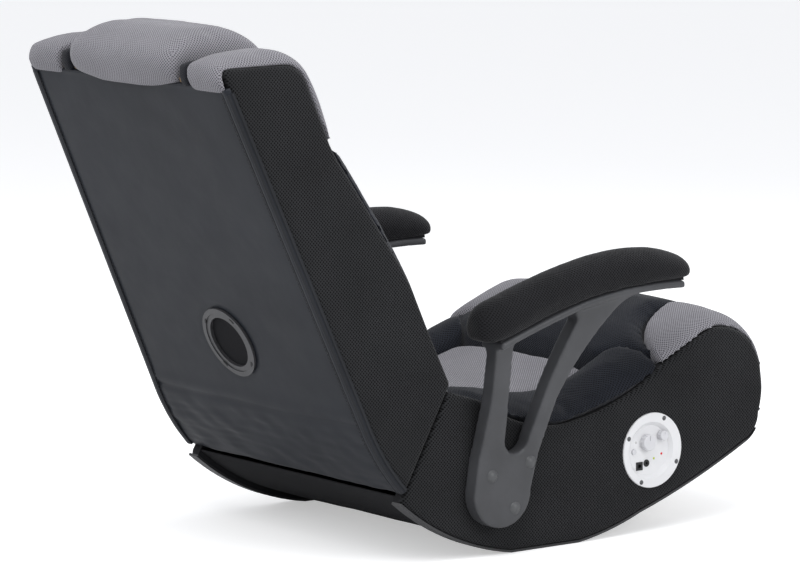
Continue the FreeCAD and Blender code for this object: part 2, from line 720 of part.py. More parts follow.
def arm_pad_screws():
    """Screws up through the rail into each pad board, heads below the rail."""
    screws = []
    for y in PAD_SCREW_YS:
        z = arm_rail_z(y)
        base = z - PAD_SCREW_GRIP
        head = Part.makeCylinder(PAD_SCREW_HEAD_R, PAD_SCREW_R, Vector(ARM_X, y, base - PAD_SCREW_R), Z_AXIS)
        top = z + PAD_BOARD_T - 1.5
        shank = Part.makeCylinder(PAD_SCREW_R, top - base, Vector(ARM_X, y, base), Z_AXIS)
        screw = head.fuse(shank)
        screws += [screw, mirrored(screw)]
    return Part.makeCompound(screws)


# Control panel and amplifier

def panel_point(offset):
    return (PANEL_CENTRE[0] + offset[0], PANEL_CENTRE[1] + offset[1])


def panel_face_x():
    """Outer face of the dish floor, where knobs and sockets stand."""
    return -BODY_HALF_WIDTH - PANEL_RIM_T + DISH_DEPTH


def control_panel():
    outer = -BODY_HALF_WIDTH - PANEL_RIM_T
    floor_x = panel_face_x()
    back = floor_x + DISH_FLOOR_T
    rim = rod(PANEL_R, outer, -BODY_HALF_WIDTH, PANEL_CENTRE)
    rim = rim.makeFillet(1.2, [edge for edge in rim.Edges if abs(edge.BoundBox.XMin - outer) < 0.01
                               and abs(edge.BoundBox.XMax - outer) < 0.01])
    hub = rod(PANEL_HUB_R, -BODY_HALF_WIDTH, back, PANEL_CENTRE)
    shape = rim.fuse(hub)
    dish_at = (PANEL_CENTRE[0] + DISH_SHIFT, PANEL_CENTRE[1])
    dish = Part.makeCone(DISH_R + 2.0, DISH_R - 3.0, DISH_DEPTH,
                         Vector(outer, dish_at[0], dish_at[1]), X_AXIS)
    shape = shape.cut(dish)
    for at, radius in ((VOLUME_AT, SPINDLE_R + SPINDLE_RUNNING), (BASS_AT, SPINDLE_R + SPINDLE_RUNNING),
                       (BUTTON_AT, BUTTON_R + 0.2), (AUDIO_AT, AUDIO_R)):
        shape = shape.cut(rod(radius, outer, back + 1.0, panel_point(at)))
    for at in LAMP_SPOTS:
        shape = shape.cut(rod(LAMP_R, outer, back + 1.0, panel_point(at)))
    power = panel_point(POWER_AT)
    shape = shape.cut(box(outer, back + 1.0, power[0] - POWER_HALF, power[0] + POWER_HALF,
                          power[1] - POWER_HALF, power[1] + POWER_HALF))
    for at in panel_screw_points():
        shape = shape.cut(rod(PANEL_SCREW_R, outer - 1.0, -BODY_HALF_WIDTH + 1.0, at))
    return shape


def panel_screw_points():
    points = []
    for k in range(4):
        angle = radians(PANEL_SCREW_ANGLE + 90.0 * k)
        points.append((PANEL_CENTRE[0] + PANEL_SCREW_PCR * cos(angle),
                       PANEL_CENTRE[1] + PANEL_SCREW_PCR * sin(angle)))
    return points


def panel_screws():
    outer = -BODY_HALF_WIDTH - PANEL_RIM_T
    screws = []
    for at in panel_screw_points():
        shank = rod(PANEL_SCREW_R, outer, -PANEL_OUT + 4.0, at)
        head = Part.makeCone(PANEL_SCREW_HEAD_R, PANEL_SCREW_R, PANEL_SCREW_HEAD_T,
                             Vector(outer, at[0], at[1]), -X_AXIS)
        screws.append(shank.fuse(head))
    return Part.makeCompound(screws)


def knob(at, radius):
    """Round knob with grip flutes, a pointer groove, and its spindle."""
    centre = panel_point(at)
    face = panel_face_x()
    base = face - KNOB_STAND
    body = rod(radius, base - KNOB_HEIGHT, base, centre)
    rim = [edge for edge in body.Edges if edge.BoundBox.XMax < base - KNOB_HEIGHT + 0.01]
    body = body.makeFillet(1.5, rim)
    flutes = 12
    for k in range(flutes):
        angle = 2.0 * pi * k / flutes
        spot = (centre[0] + (radius + 0.5) * cos(angle), centre[1] + (radius + 0.5) * sin(angle))
        body = body.cut(rod(1.1, base - KNOB_HEIGHT + 2.0, base + 1.0, spot))
    groove = box(base - KNOB_HEIGHT - 1.0, base - KNOB_HEIGHT + 0.8, centre[0] - 0.6, centre[0] + 0.6,
                 centre[1] + 0.25 * radius, centre[1] + radius + 1.0)
    spindle = rod(SPINDLE_R, base, base + SPINDLE_LENGTH, centre)
    return body.cut(groove).fuse(spindle)


def power_button():
    centre = panel_point(BUTTON_AT)
    face = panel_face_x()
    body = rod(BUTTON_R, face - BUTTON_PROUD, face + DISH_FLOOR_T + 0.5, centre)
    flange = rod(BUTTON_R + 1.5, face + DISH_FLOOR_T + 0.1, face + DISH_FLOOR_T + 1.3, centre)
    return body.fuse(flange)


def indicator_lamps():
    face = panel_face_x()
    lamps = []
    for at in LAMP_SPOTS:
        centre = panel_point(at)
        body = rod(LAMP_R, face, face + DISH_FLOOR_T + 3.0, centre)
        lamps.append(body.fuse(dome(LAMP_R, 0.8, face, centre, -1.0)))
    return Part.makeCompound(lamps)


def audio_socket():
    centre = panel_point(AUDIO_AT)
    face = panel_face_x()
    body = rod(AUDIO_R, face, face + SOCKET_DEPTH + 2.0, centre)
    ring = rod(AUDIO_R + 1.4, face - 0.8, face, centre)
    return body.fuse(ring).cut(rod(AUDIO_BORE, face - 2.0, face + SOCKET_DEPTH, centre))


def power_socket():
    centre = panel_point(POWER_AT)
    face = panel_face_x()
    body = box(face, face + SOCKET_DEPTH + 2.0, centre[0] - POWER_HALF, centre[0] + POWER_HALF,
               centre[1] - POWER_HALF, centre[1] + POWER_HALF)
    lip = box(face - 0.8, face, centre[0] - POWER_HALF - 1.0, centre[0] + POWER_HALF + 1.0,
              centre[1] - POWER_HALF - 1.0, centre[1] + POWER_HALF + 1.0)
    shape = body.fuse(lip).cut(rod(POWER_BORE, face - 2.0, face + SOCKET_DEPTH, centre))
    return shape.fuse(rod(0.6, face + 1.0, face + SOCKET_DEPTH + 1.0, centre))


def amplifier_housing():
    """Open-fronted case behind the panel, seated on the side panel's inner face."""
    y = PANEL_CENTRE[0] - AMP_LENGTH / 2.0
    ears = box(-PANEL_IN, -PANEL_IN + 3.0, y - 10.0, y + AMP_LENGTH + 10.0,
               AMP_BASE_Z, AMP_BASE_Z + AMP_HEIGHT)
    case = box(-PANEL_IN, -PANEL_IN + AMP_DEPTH, y, y + AMP_LENGTH, AMP_BASE_Z, AMP_BASE_Z + AMP_HEIGHT)
    hollow = box(-PANEL_IN - 1.0, -PANEL_IN + AMP_DEPTH - AMP_WALL, y + AMP_WALL, y + AMP_LENGTH - AMP_WALL,
                 AMP_BASE_Z + AMP_WALL, AMP_BASE_Z + AMP_HEIGHT - AMP_WALL)
    return case.fuse(ears).cut(hollow)


def amplifier_board():
    """Circuit board on the floor of the case, with its cooling block and two capacitors."""
    y = PANEL_CENTRE[0] - AMP_LENGTH / 2.0 + AMP_WALL
    z = AMP_BASE_Z + AMP_WALL
    x0 = -PANEL_IN + 8.0
    x1 = -PANEL_IN + AMP_DEPTH - AMP_WALL - 2.0
    wide = AMP_LENGTH - 2.0 * AMP_WALL
    board = box(x0, x1, y + 2.0, y + wide - 2.0, z + BOARD_STAND, z + BOARD_STAND + PCB_T)
    top = z + BOARD_STAND + PCB_T
    for k in range(4):
        fin = box(x0 + 8.0, x1 - 6.0, y + 10.0 + 5.0 * k, y + 12.0 + 5.0 * k, top, top + 22.0)
        board = board.fuse(fin)
    board = board.fuse(box(x0 + 8.0, x1 - 6.0, y + 10.0, y + 27.0, top, top + 3.0))
    for k in range(2):
        spot = Vector((x0 + x1) / 2.0, y + 42.0 + 18.0 * k, top)
        board = board.fuse(Part.makeCylinder(6.0, 20.0, spot, Z_AXIS))
    for px in (x0 + 3.0, x1 - 3.0):
        for py in (y + 6.0, y + wide - 6.0):
            board = board.fuse(Part.makeCylinder(2.5, BOARD_STAND, Vector(px, py, z), Z_AXIS))
    return board


# Back frame and profile

def back_point(u, depth):
    """Point (y, z) at height u along the back and depth in front of its rear plane."""
    angle = radians(RECLINE)
    return (BEND[0] + u * sin(angle) - depth * cos(angle), BEND[1] + u * cos(angle) + depth * sin(angle))


def rear_arc(inset, turn):
    """Point on the bent foot of the rear, after turning by that many degrees from the bend."""
    angle = radians(RECLINE)
    centre = back_point(0.0, BEND_R)
    lower = angle + radians(turn)
    radius = BEND_R - inset
    return (centre[0] + radius * cos(lower), centre[1] - radius * sin(lower))


def rear_foot(inset):
    """Steps from the top of the rear face down to its foot."""
    return [back_point(REAR_FLAT, inset), back_point(0.0, inset),
            (rear_arc(inset, BEND_TURN / 2.0), rear_arc(inset, BEND_TURN))]


def back_outline():
    """Steps round the side of the back, in front of the board and cover on its rear."""
    skin = BOARD_T + VINYL_T
    corner = on_seam(-BACK_CORNER_RISE, SEAM_GAP)
    rear = rear_foot(skin)
    foot = on_seam(SEAM_LENGTH - 6.0, SEAM_GAP)
    return [corner, back_point(*BACK_LOW), back_point(*BACK_LOW_END),
            (back_point(*BACK_WAIST_MID), back_point(*BACK_WAIST)), back_point(*BACK_SHOULDER),
            (back_point(*BACK_NECK_MID), back_point(*BACK_NECK)), back_point(*BACK_FACE_TOP),
            (back_point(*BACK_CROWN_MID), back_point(*BACK_CROWN)),
            (back_point(*BACK_TOP_MID), back_point(*BACK_TOP)), rear[0], rear[1], rear[2], foot]


def tapered(shape):
    """Side piece of the back turned inward about the height where the taper starts."""
    return shape.rotate(Vector(BODY_HALF_WIDTH, 0, TAPER_Z), Y_AXIS, -BACK_TAPER)


def between_sides(inset):
    """Space between the tapered sides, less inset on each."""
    slope = sin(radians(BACK_TAPER)) / cos(radians(BACK_TAPER))
    half = BODY_HALF_WIDTH - inset / cos(radians(BACK_TAPER))
    low, high = 40.0, 760.0
    corners = []
    for side, z in ((-1, low), (1, low), (1, high), (-1, high)):
        corners.append(Vector(side * (half - slope * (z - TAPER_Z)), 60.0, z))
    return Part.Face(turned_wire(corners)).extrude(Vector(0, 700.0, 0))


def back_slab(steps, inset):
    """Plate of an outline across the whole back, trimmed to the tapered sides."""
    width = 2.0 * (BODY_HALF_WIDTH + 10.0)
    return slab(width, *steps, x=-width / 2.0).common(between_sides(inset))


def back_side(x0, x1):
    return tapered(slab(x1 - x0, *back_outline(), x=x0)).cut(rear_sheet(0.0, VINYL_T + BOARD_T))


def back_side_cover():
    return back_side(PANEL_OUT, BODY_HALF_WIDTH)


def back_side_panel():
    return back_side(PANEL_IN, PANEL_OUT).cut(knuckle_room(PANEL_IN - 10.0, PANEL_OUT - 2.0))


def rear_sheet(near, far):
    """Sheet over the whole rear, bent at the foot, between two insets."""
    outer = rear_foot(near)
    inner = rear_foot(far)
    return back_slab([outer[0], outer[1], outer[2], inner[2][1], (inner[2][0], inner[1]), inner[0]], 0.0)


def port_hole(radius, near, far):
    """Round hole through the rear, between two insets from the rear plane."""
    start = back_point(PORT_U, near)
    way = Vector(0, -cos(radians(RECLINE)), sin(radians(RECLINE)))
    return Part.makeCylinder(radius, far - near, Vector(0, start[0], start[1]), way)


def rear_layer(near, far):
    """Rear sheet with the port's hole and the holes of the ring's screws."""
    return rear_sheet(near, far).cut(port_hole(PORT_BORE, near - 1.0, far + 1.0)).cut(port_screws())


def back_cover():
    return rear_layer(0.0, VINYL_T)


def back_board():
    return rear_layer(VINYL_T, VINYL_T + BOARD_T)


def back_edge_piping():
    """Piped edge down both sides of the rear."""
    rear = rear_foot(-0.3 * PIPING_R)
    x = BODY_HALF_WIDTH + 0.3 * PIPING_R
    start = Vector(x, rear[0][0], rear[0][1])
    bend = Vector(x, rear[1][0], rear[1][1])
    middle = Vector(x, rear[2][0][0], rear[2][0][1])
    foot = Vector(x, rear[2][1][0], rear[2][1][1])
    path = Part.Wire([Part.makeLine(start, bend), Part.Arc(bend, middle, foot).toShape()])
    ring = Part.Wire([Part.makeCircle(PIPING_R, start, start - bend)])
    cord = tapered(path.makePipeShell([ring], True, False))
    for neighbour in (back_cover(), back_board(), back_side_cover()):
        cord = cord.cut(neighbour)
    return Part.makeCompound([cord, mirrored(cord)])


def inner_slab(steps):
    """Plate between the plywood sides of the back."""
    return back_slab(steps, COVER_T + PANEL_T)


def back_front_board():
    """Board that the front cushions lie on."""
    low, high = FRONT_BOARD_U, TOP_RAIL_U + BOARD_T
    board = inner_slab([back_point(low, FRONT_BOARD_LOW), back_point(high, FRONT_BOARD_HIGH),
                        back_point(high, FRONT_BOARD_HIGH - BOARD_T), back_point(low, FRONT_BOARD_LOW - BOARD_T)])
    for x in (SPEAKER_X, -SPEAKER_X):
        board = board.cut(speaker_neck(x, SPEAKER_MAGNET_R))
    return main_solid(beside_leaves(board.cut(back_top_rail())))


def beside_leaves(shape):
    """Board of the back, notched round the hinge leaves and the pin."""
    for notch in (back_leaf(), knuckle_room(PANEL_IN - 4.0 * LEAF_T, PANEL_IN + SEAM_CLEAR)):
        shape = shape.cut(notch).cut(mirrored(notch))
    return shape


def back_top_rail():
    skin = VINYL_T + BOARD_T
    high = TOP_RAIL_U + TOP_RAIL_RISE
    return inner_slab([back_point(high, skin), back_point(TOP_RAIL_U, FRONT_BOARD_HIGH),
                       back_point(TOP_RAIL_U + RAIL_T, FRONT_BOARD_HIGH), back_point(high + RAIL_T, skin)])


def back_bottom_rail():
    """Rail along the seam that closes the foot of the back."""
    near = SEAM_GAP + SEAM_CLEAR
    start, end = 40.0, SEAM_LENGTH - 12.0
    rail = inner_slab([on_seam(start, near), on_seam(start, near + RAIL_T),
                       on_seam(end, near + RAIL_T), on_seam(end, near)])
    return rail.cut(back_board()).cut(back_cover()).fuse(back_base_board())


def back_base_board():
    """Short board that ties the front board to the bottom rail."""
    low = on_seam(40.0, SEAM_GAP + SEAM_CLEAR + RAIL_T)
    board = back_point(FRONT_BOARD_U, FRONT_BOARD_LOW - BOARD_T)
    board_front = back_point(FRONT_BOARD_U, FRONT_BOARD_LOW)
    near = SEAM_GAP + SEAM_CLEAR
    return beside_leaves(inner_slab([low, on_seam(40.0, near), on_seam(30.0, near), board_front, board]))


# Back cushions, drawn upright and then leaned back

def upright(shape):
    """From upright coordinates (x, -depth, height) to the leaning back."""
    shape.rotate(Vector(0, 0, 0), X_AXIS, -RECLINE)
    shape.translate(Vector(0, BEND[0], BEND[1]))
    return shape


def back_front(u):
    """Depth of the front seam of the back side at height u."""
    line = [BACK_LOW, BACK_LOW_END, BACK_WAIST, BACK_SHOULDER, BACK_NECK, BACK_FACE_TOP]
    if u <= line[0][0]:
        return line[0][1]
    for (u0, d0), (u1, d1) in zip(line, line[1:]):
        if u <= u1:
            return d0 + (d1 - d0) * (u - u0) / (u1 - u0)
    return line[-1][1]


def back_half_width(u):
    return BODY_HALF_WIDTH - sin(radians(BACK_TAPER)) * u * cos(radians(RECLINE))


def back_frame_cut(shape):
    """Back cushion without what the frame and hinges take up."""
    sides = back_side(PANEL_IN, BODY_HALF_WIDTH)
    for piece in (sides, mirrored(sides), back_front_board(), back_top_rail(), back_bottom_rail(),
                  back_board(), back_cover()):
        shape = shape.cut(piece)
    for hinge in (knuckle_room(PANEL_IN - 4.0 * LEAF_T, PANEL_IN + SEAM_CLEAR), back_leaf()):
        shape = shape.cut(hinge).cut(mirrored(hinge))
    return main_solid(shape.cut(before_seam()).common(between_sides(0.0)))


def before_seam():
    """Space on the seat's side of the seam, as a tool for cutting."""
    wide = BODY_HALF_WIDTH + 10.0
    return slab(2.0 * wide, on_seam(-60.0, SEAM_GAP), on_seam(SEAM_LENGTH, SEAM_GAP),
                on_seam(SEAM_LENGTH, -80.0), on_seam(-60.0, -80.0), x=-wide)


def back_pad_section(u, half_width, depth, crown):
    inner = board_depth(u) - 1.0
    shoulder = half_width - 9.0
    return turned_wire([
        Vector(-half_width, -inner, u), Vector(-half_width, -depth + 8.0, u),
        (Vector(-half_width + 2.6, -depth + 2.4, u), Vector(-shoulder, -depth, u)),
        (Vector(0, -crown, u), Vector(shoulder, -depth, u)),
        (Vector(half_width - 2.6, -depth + 2.4, u), Vector(half_width, -depth + 8.0, u)),
        Vector(half_width, -inner, u)])


def back_centre_pad():
    stations = [(-12.0, 0.05), (50.0, 0.55), (110.0, 1.0), (179.0, 1.0), (250.0, 0.9), (305.0, 0.9), (349.7, 0.5)]
    wires = []
    for u, share in stations:
        depth = back_front(u) + BACK_PAD_RISE * share - 5.0
        wires.append(back_pad_section(u, BACK_PAD_HALF_WIDTH, depth, depth + 8.0 * share + 1.0))
    return back_frame_cut(upright(Part.makeLoft(wires, True, False)))


def back_bolster():
    stations = [(-12.0, 0.05), (50.0, 0.55), (110.0, 1.0), (179.0, 1.0), (250.0, 1.0), (305.0, 1.0), (349.7, 0.7)]
    inner = BACK_PAD_HALF_WIDTH + 2.0 * SEAM_CLEAR
    wires = []
    for u, share in stations:
        outer = back_half_width(u)
        side = back_front(u)
        inner_d = board_depth(u) - 1.0
        rise = BACK_BOLSTER_RISE * share
        ridge = inner + 0.4 * (outer - inner)
        wires.append(turned_wire([
            Vector(inner, -inner_d, u), Vector(inner, -(side - 3.0), u),
            (Vector(inner + 0.12 * (outer - inner), -(side + 0.7 * rise), u), Vector(ridge, -(side + rise), u)),
            (Vector(ridge + 0.5 * (outer - ridge), -(side + 0.72 * rise), u), Vector(outer, -(side + 1.0), u)),
            Vector(outer, -inner_d, u)]))
    return back_frame_cut(upright(Part.makeLoft(wires, True, False)))


def roll_section(x, rise):
    """Section of a roll over the top of the back, in upright coordinates."""
    def at(u, depth):
        return Vector(x, -depth, u)

    base = REAR_FLAT + 2.0 * SEAM_CLEAR
    low = BACK_NECK[0] + 2.0 * SEAM_CLEAR
    return turned_wire([
        at(base, 0.4), (at(base + 14.0, -0.3 * rise), at(BACK_TOP[0] + 0.5 * rise, BACK_TOP[1] - 0.15 * rise)),
        (at(BACK_TOP_MID[0] + 9.0 + rise, BACK_TOP_MID[1] - 20.0),
         at(BACK_TOP_MID[0] - 4.0 + rise, BACK_TOP_MID[1] + 12.0 + 0.1 * rise)),
        (at(BACK_CROWN[0] + 0.75 * rise, BACK_CROWN[1] + 6.0 + 0.35 * rise),
         at(BACK_FACE_TOP[0] + 0.3 * rise, BACK_FACE_TOP[1] + 2.0 + 0.7 * rise)),
        (at(ROLL_FALL_U, BACK_FACE_TOP[1] + 1.0 + 0.75 * rise), at(low, BACK_NECK[1] + 0.35 * rise)),
        at(low, board_depth(low) - 2.0), at(TOP_RAIL_U + 5.0, FRONT_BOARD_HIGH - 3.0),
        at(TOP_RAIL_U + TOP_RAIL_RISE + 4.0, 9.0)])


def top_roll():
    stations = [(140.0, 0.7), (165.0, 0.9), (190.0, 1.0), (210.0, 0.95), (222.0, 0.8), (230.0, 0.55),
                (BODY_HALF_WIDTH, 0.08)]
    wires = [roll_section(x, ROLL_RISE * share) for x, share in stations]
    roll = tapered(upright(Part.makeLoft(wires, True, True)))
    inside = BAND_OUTER + 2.0 * SEAM_CLEAR
    roll = roll.common(box(inside, BODY_HALF_WIDTH + 5.0, 0.0, BEYOND_BACK, BELOW_ROLLS, BEYOND_BACK))
    return main_solid(back_frame_cut(roll).cut(back_bolster()))


def headrest_roll():
    half = HEADREST_HALF_WIDTH
    stations = [(half, 0.3), (half - 4.0, 0.55), (half - 10.0, 0.74), (half - 20.0, 0.87), (half - 40.0, 0.96),
                (0.0, 1.0)]
    stations += [(-x, share) for x, share in reversed(stations[:-1])]
    wires = [roll_section(x, HEADREST_RISE * share) for x, share in stations]
    roll = back_frame_cut(upright(Part.makeLoft(wires, True, True)))
    return roll.cut(speaker_room(SPEAKER_X)).cut(speaker_room(-SPEAKER_X))


def headrest_bands():
    inner = HEADREST_HALF_WIDTH + 2.0 * SEAM_CLEAR
    stations = [(inner, 0.8), ((inner + BAND_OUTER) / 2.0, 1.0), (BAND_OUTER, 0.8)]
    wires = [roll_section(x, BAND_RISE * share) for x, share in stations]
    band = back_frame_cut(upright(Part.makeLoft(wires, True, True)))
    return Part.makeCompound([band, mirrored(band)])


# Speakers

def on_board(x, u, depth):
    """Point on the headrest part of the back, as a vector."""
    y, z = back_point(u, depth)
    return Vector(x, y, z)


def board_depth(u):
    """Depth of the front face of the front board at height u."""
    share = (u - FRONT_BOARD_U) / (TOP_RAIL_U + BOARD_T - FRONT_BOARD_U)
    return FRONT_BOARD_LOW + share * (FRONT_BOARD_HIGH - FRONT_BOARD_LOW)


def board_normal():
    lean_in = (FRONT_BOARD_LOW - FRONT_BOARD_HIGH) / (TOP_RAIL_U + BOARD_T - FRONT_BOARD_U)
    angle = radians(RECLINE) + lean_in
    return Vector(0, -cos(angle), sin(angle))


def speaker_room(x):
    start = on_board(x, SPEAKER_U, board_depth(SPEAKER_U)) - board_normal() * BOARD_T
    return Part.makeCylinder(SPEAKER_R + SEAM_CLEAR, SPEAKER_T + BOARD_T + 2.0 * SEAM_CLEAR, start, board_normal())


def speaker_neck(x, radius):
    """Round passage of a small speaker through the board."""
    face = on_board(x, SPEAKER_U, board_depth(SPEAKER_U))
    start = face - board_normal() * (BOARD_T + SPEAKER_MAGNET_T)
    return Part.makeCylinder(radius, BOARD_T + SPEAKER_MAGNET_T + 1.0, start, board_normal())


def headrest_speakers():
    """Each small speaker: frame on the board's front face, magnet through the board."""
    parts = []
    for x in (SPEAKER_X, -SPEAKER_X):
        start = on_board(x, SPEAKER_U, board_depth(SPEAKER_U)) + board_normal() * SEAM_CLEAR
        body = Part.makeCylinder(SPEAKER_R, SPEAKER_T, start, board_normal())
        mouth = Part.makeCone(SPEAKER_MAGNET_R * 0.6, SPEAKER_R - 4.0, SPEAKER_T - 3.0,
                              start + board_normal() * 3.0, board_normal())
        parts.append(body.fuse(speaker_neck(x, SPEAKER_MAGNET_R)).cut(mouth))
    return Part.makeCompound(parts)


def port_ring():
    """Two-step trim ring round the port, with four slots for its screws."""
    ring = port_hole(PORT_R, -PORT_T, 0.0).fuse(port_hole(PORT_BORE, -PORT_T, VINYL_T))
    outer_edges = [edge for edge in ring.Edges if edge.Length > 2.0 * pi * PORT_R - 1.0]
    ring = ring.makeFillet(1.5, outer_edges[:1])
    ring = ring.cut(port_hole(PORT_BORE - 3.0, -PORT_T - 1.0, VINYL_T + 1.0))
    ring = ring.cut(port_hole(PORT_SLOT_PCR - 1.5, -PORT_T - 1.0, -PORT_T + 1.2))
    for spot in port_slots(PORT_T + 1.0):
        ring = ring.cut(spot)
    return ring


def port_way():
    return Vector(0, -cos(radians(RECLINE)), sin(radians(RECLINE)))


def port_spots(depth):
    """Centres of the four ring screws, at a depth from the rear plane."""
    start = back_point(PORT_U, depth)
    up = Vector(0, sin(radians(RECLINE)), cos(radians(RECLINE)))
    spots = []
    for k in range(4):
        angle = radians(PORT_SLOT_ANGLE + 90.0 * k)
        spots.append(Vector(0, start[0], start[1]) + X_AXIS * (PORT_SLOT_PCR * cos(angle))
                     + up * (PORT_SLOT_PCR * sin(angle)))
    return spots


def port_slots(length):
    return [Part.makeCylinder(PANEL_SCREW_R, length, spot, port_way()) for spot in port_spots(-length)]


def port_screws():
    screws = []
    for spot in port_spots(-PORT_T + 1.0):
        screws.append(Part.makeCylinder(PANEL_SCREW_R, PORT_T + 4.0, spot, port_way()))
    return Part.makeCompound(screws)


def port_grille():
    """Cloth disc behind the ring."""
    return port_hole(PORT_BORE - SEAM_CLEAR, VINYL_T + 0.2, VINYL_T + 0.2 + GRILLE_T)


def woofer_axis(depth):
    start = back_point(PORT_U, depth)
    return Vector(0, start[0], start[1])


def woofer_basket():
    base = VINYL_T + BOARD_T
    flange = port_hole(WOOFER_FLANGE_R, base, base + WOOFER_FLANGE_T)
    cone = Part.makeCone(WOOFER_BASKET_R + WOOFER_WALL, WOOFER_NECK_R + WOOFER_WALL, WOOFER_BASKET_DEPTH,
                         woofer_axis(base + WOOFER_FLANGE_T), port_way())
    hollow = Part.makeCone(WOOFER_BASKET_R, WOOFER_NECK_R, WOOFER_BASKET_DEPTH - WOOFER_WALL,
                           woofer_axis(base + WOOFER_FLANGE_T), port_way())
    shape = flange.fuse(cone).cut(hollow)
    shape = shape.cut(port_hole(WOOFER_BASKET_R, base - 1.0, base + WOOFER_FLANGE_T))
    end = base + WOOFER_FLANGE_T + WOOFER_BASKET_DEPTH
    return shape.cut(port_hole(COIL_R + 2.0 * COIL_CLEAR, base, end + 1.0))


def woofer_magnet():
    start = VINYL_T + BOARD_T + WOOFER_FLANGE_T + WOOFER_BASKET_DEPTH
    magnet = port_hole(MAGNET_R, start, start + MAGNET_T)
    return magnet.cut(port_hole(COIL_R + COIL_CLEAR, start - 1.0, start + MAGNET_T - 3.0))


def woofer_cone():
    """Paper cone with its coil tube, free to move along its axis."""
    base = VINYL_T + BOARD_T + WOOFER_FLANGE_T
    start = base + 1.5 * CONE_TRAVEL
    depth = WOOFER_BASKET_DEPTH - WOOFER_WALL - 3.0 * CONE_TRAVEL
    outer = Part.makeCone(CONE_R, COIL_R, depth, woofer_axis(start), port_way())
    inner = Part.makeCone(CONE_R - CONE_WALL, COIL_R - CONE_WALL, depth, woofer_axis(start - 0.5), port_way())
    cap = port_hole(COIL_R, start + depth - 1.5, start + depth)
    coil = port_hole(COIL_R, start + depth, base + WOOFER_BASKET_DEPTH + MAGNET_T - 3.0 - 1.5 * CONE_TRAVEL)
    rim = port_hole(CONE_RIM_R, start - 1.0, start).cut(port_hole(CONE_R - 3.0, start - 2.0, start + 1.0))
    return outer.cut(inner).fuse([cap, coil, rim])


# Hinges

def leaf_blank(x0, x1, points):
    start, rest = points[0], points[1:]
    return slab(x1 - x0, start, *rest, x=x0)


def seat_leaf():
    """Plate on the inner face of a seat side panel, with a round knuckle for the pin."""
    x0 = PANEL_IN - LEAF_T
    plate = leaf_blank(x0, PANEL_IN, [on_seam(-2.0, -4.0), on_seam(6.0, -3.0), on_seam(20.0, -3.0),
                                      on_seam(24.0, -20.0), on_seam(60.0, -24.0), on_seam(54.0, -52.0),
                                      on_seam(30.0, -52.0)])
    return plate.fuse(rod(KNUCKLE_R, x0, PANEL_IN, HINGE)).cut(rod(PIN_R, x0 - 1.0, PANEL_IN + 1.0, HINGE))


def back_leaf():
    """Plate that reaches from the pin to the inner face of a back side panel."""
    x1 = PANEL_IN - LEAF_T - LEAF_GAP
    x0 = x1 - LEAF_T
    low, high = 60.0, 110.0
    rear, front = 82.0, 104.0
    grip = leaf_blank(x0, PANEL_OUT, [back_point(low, rear), back_point(low, front), back_point(high, front),
                                      back_point(high, rear)]).common(between_sides(COVER_T + PANEL_T))
    arm = leaf_blank(x0, x1, [on_seam(-KNUCKLE_R + 1.0, 0.0), back_point(low, front), back_point(low, rear),
                              on_seam(2.0, KNUCKLE_R - 1.0)])
    leaf = arm.fuse([grip, rod(KNUCKLE_R, x0, x1, HINGE)])
    return leaf.cut(rod(PIN_R + PIN_RUNNING, x0 - 1.0, x1 + 1.0, HINGE))


def hinge_pins():
    x1 = PANEL_IN
    x0 = x1 - 2.0 * LEAF_T - 2.0 * LEAF_GAP
    pin = rod(PIN_R, x0, x1, HINGE).fuse(rod(PIN_HEAD_R, x0 - PIN_HEAD_T, x0, HINGE))
    return Part.makeCompound([pin, mirrored(pin)])


# Whole chair

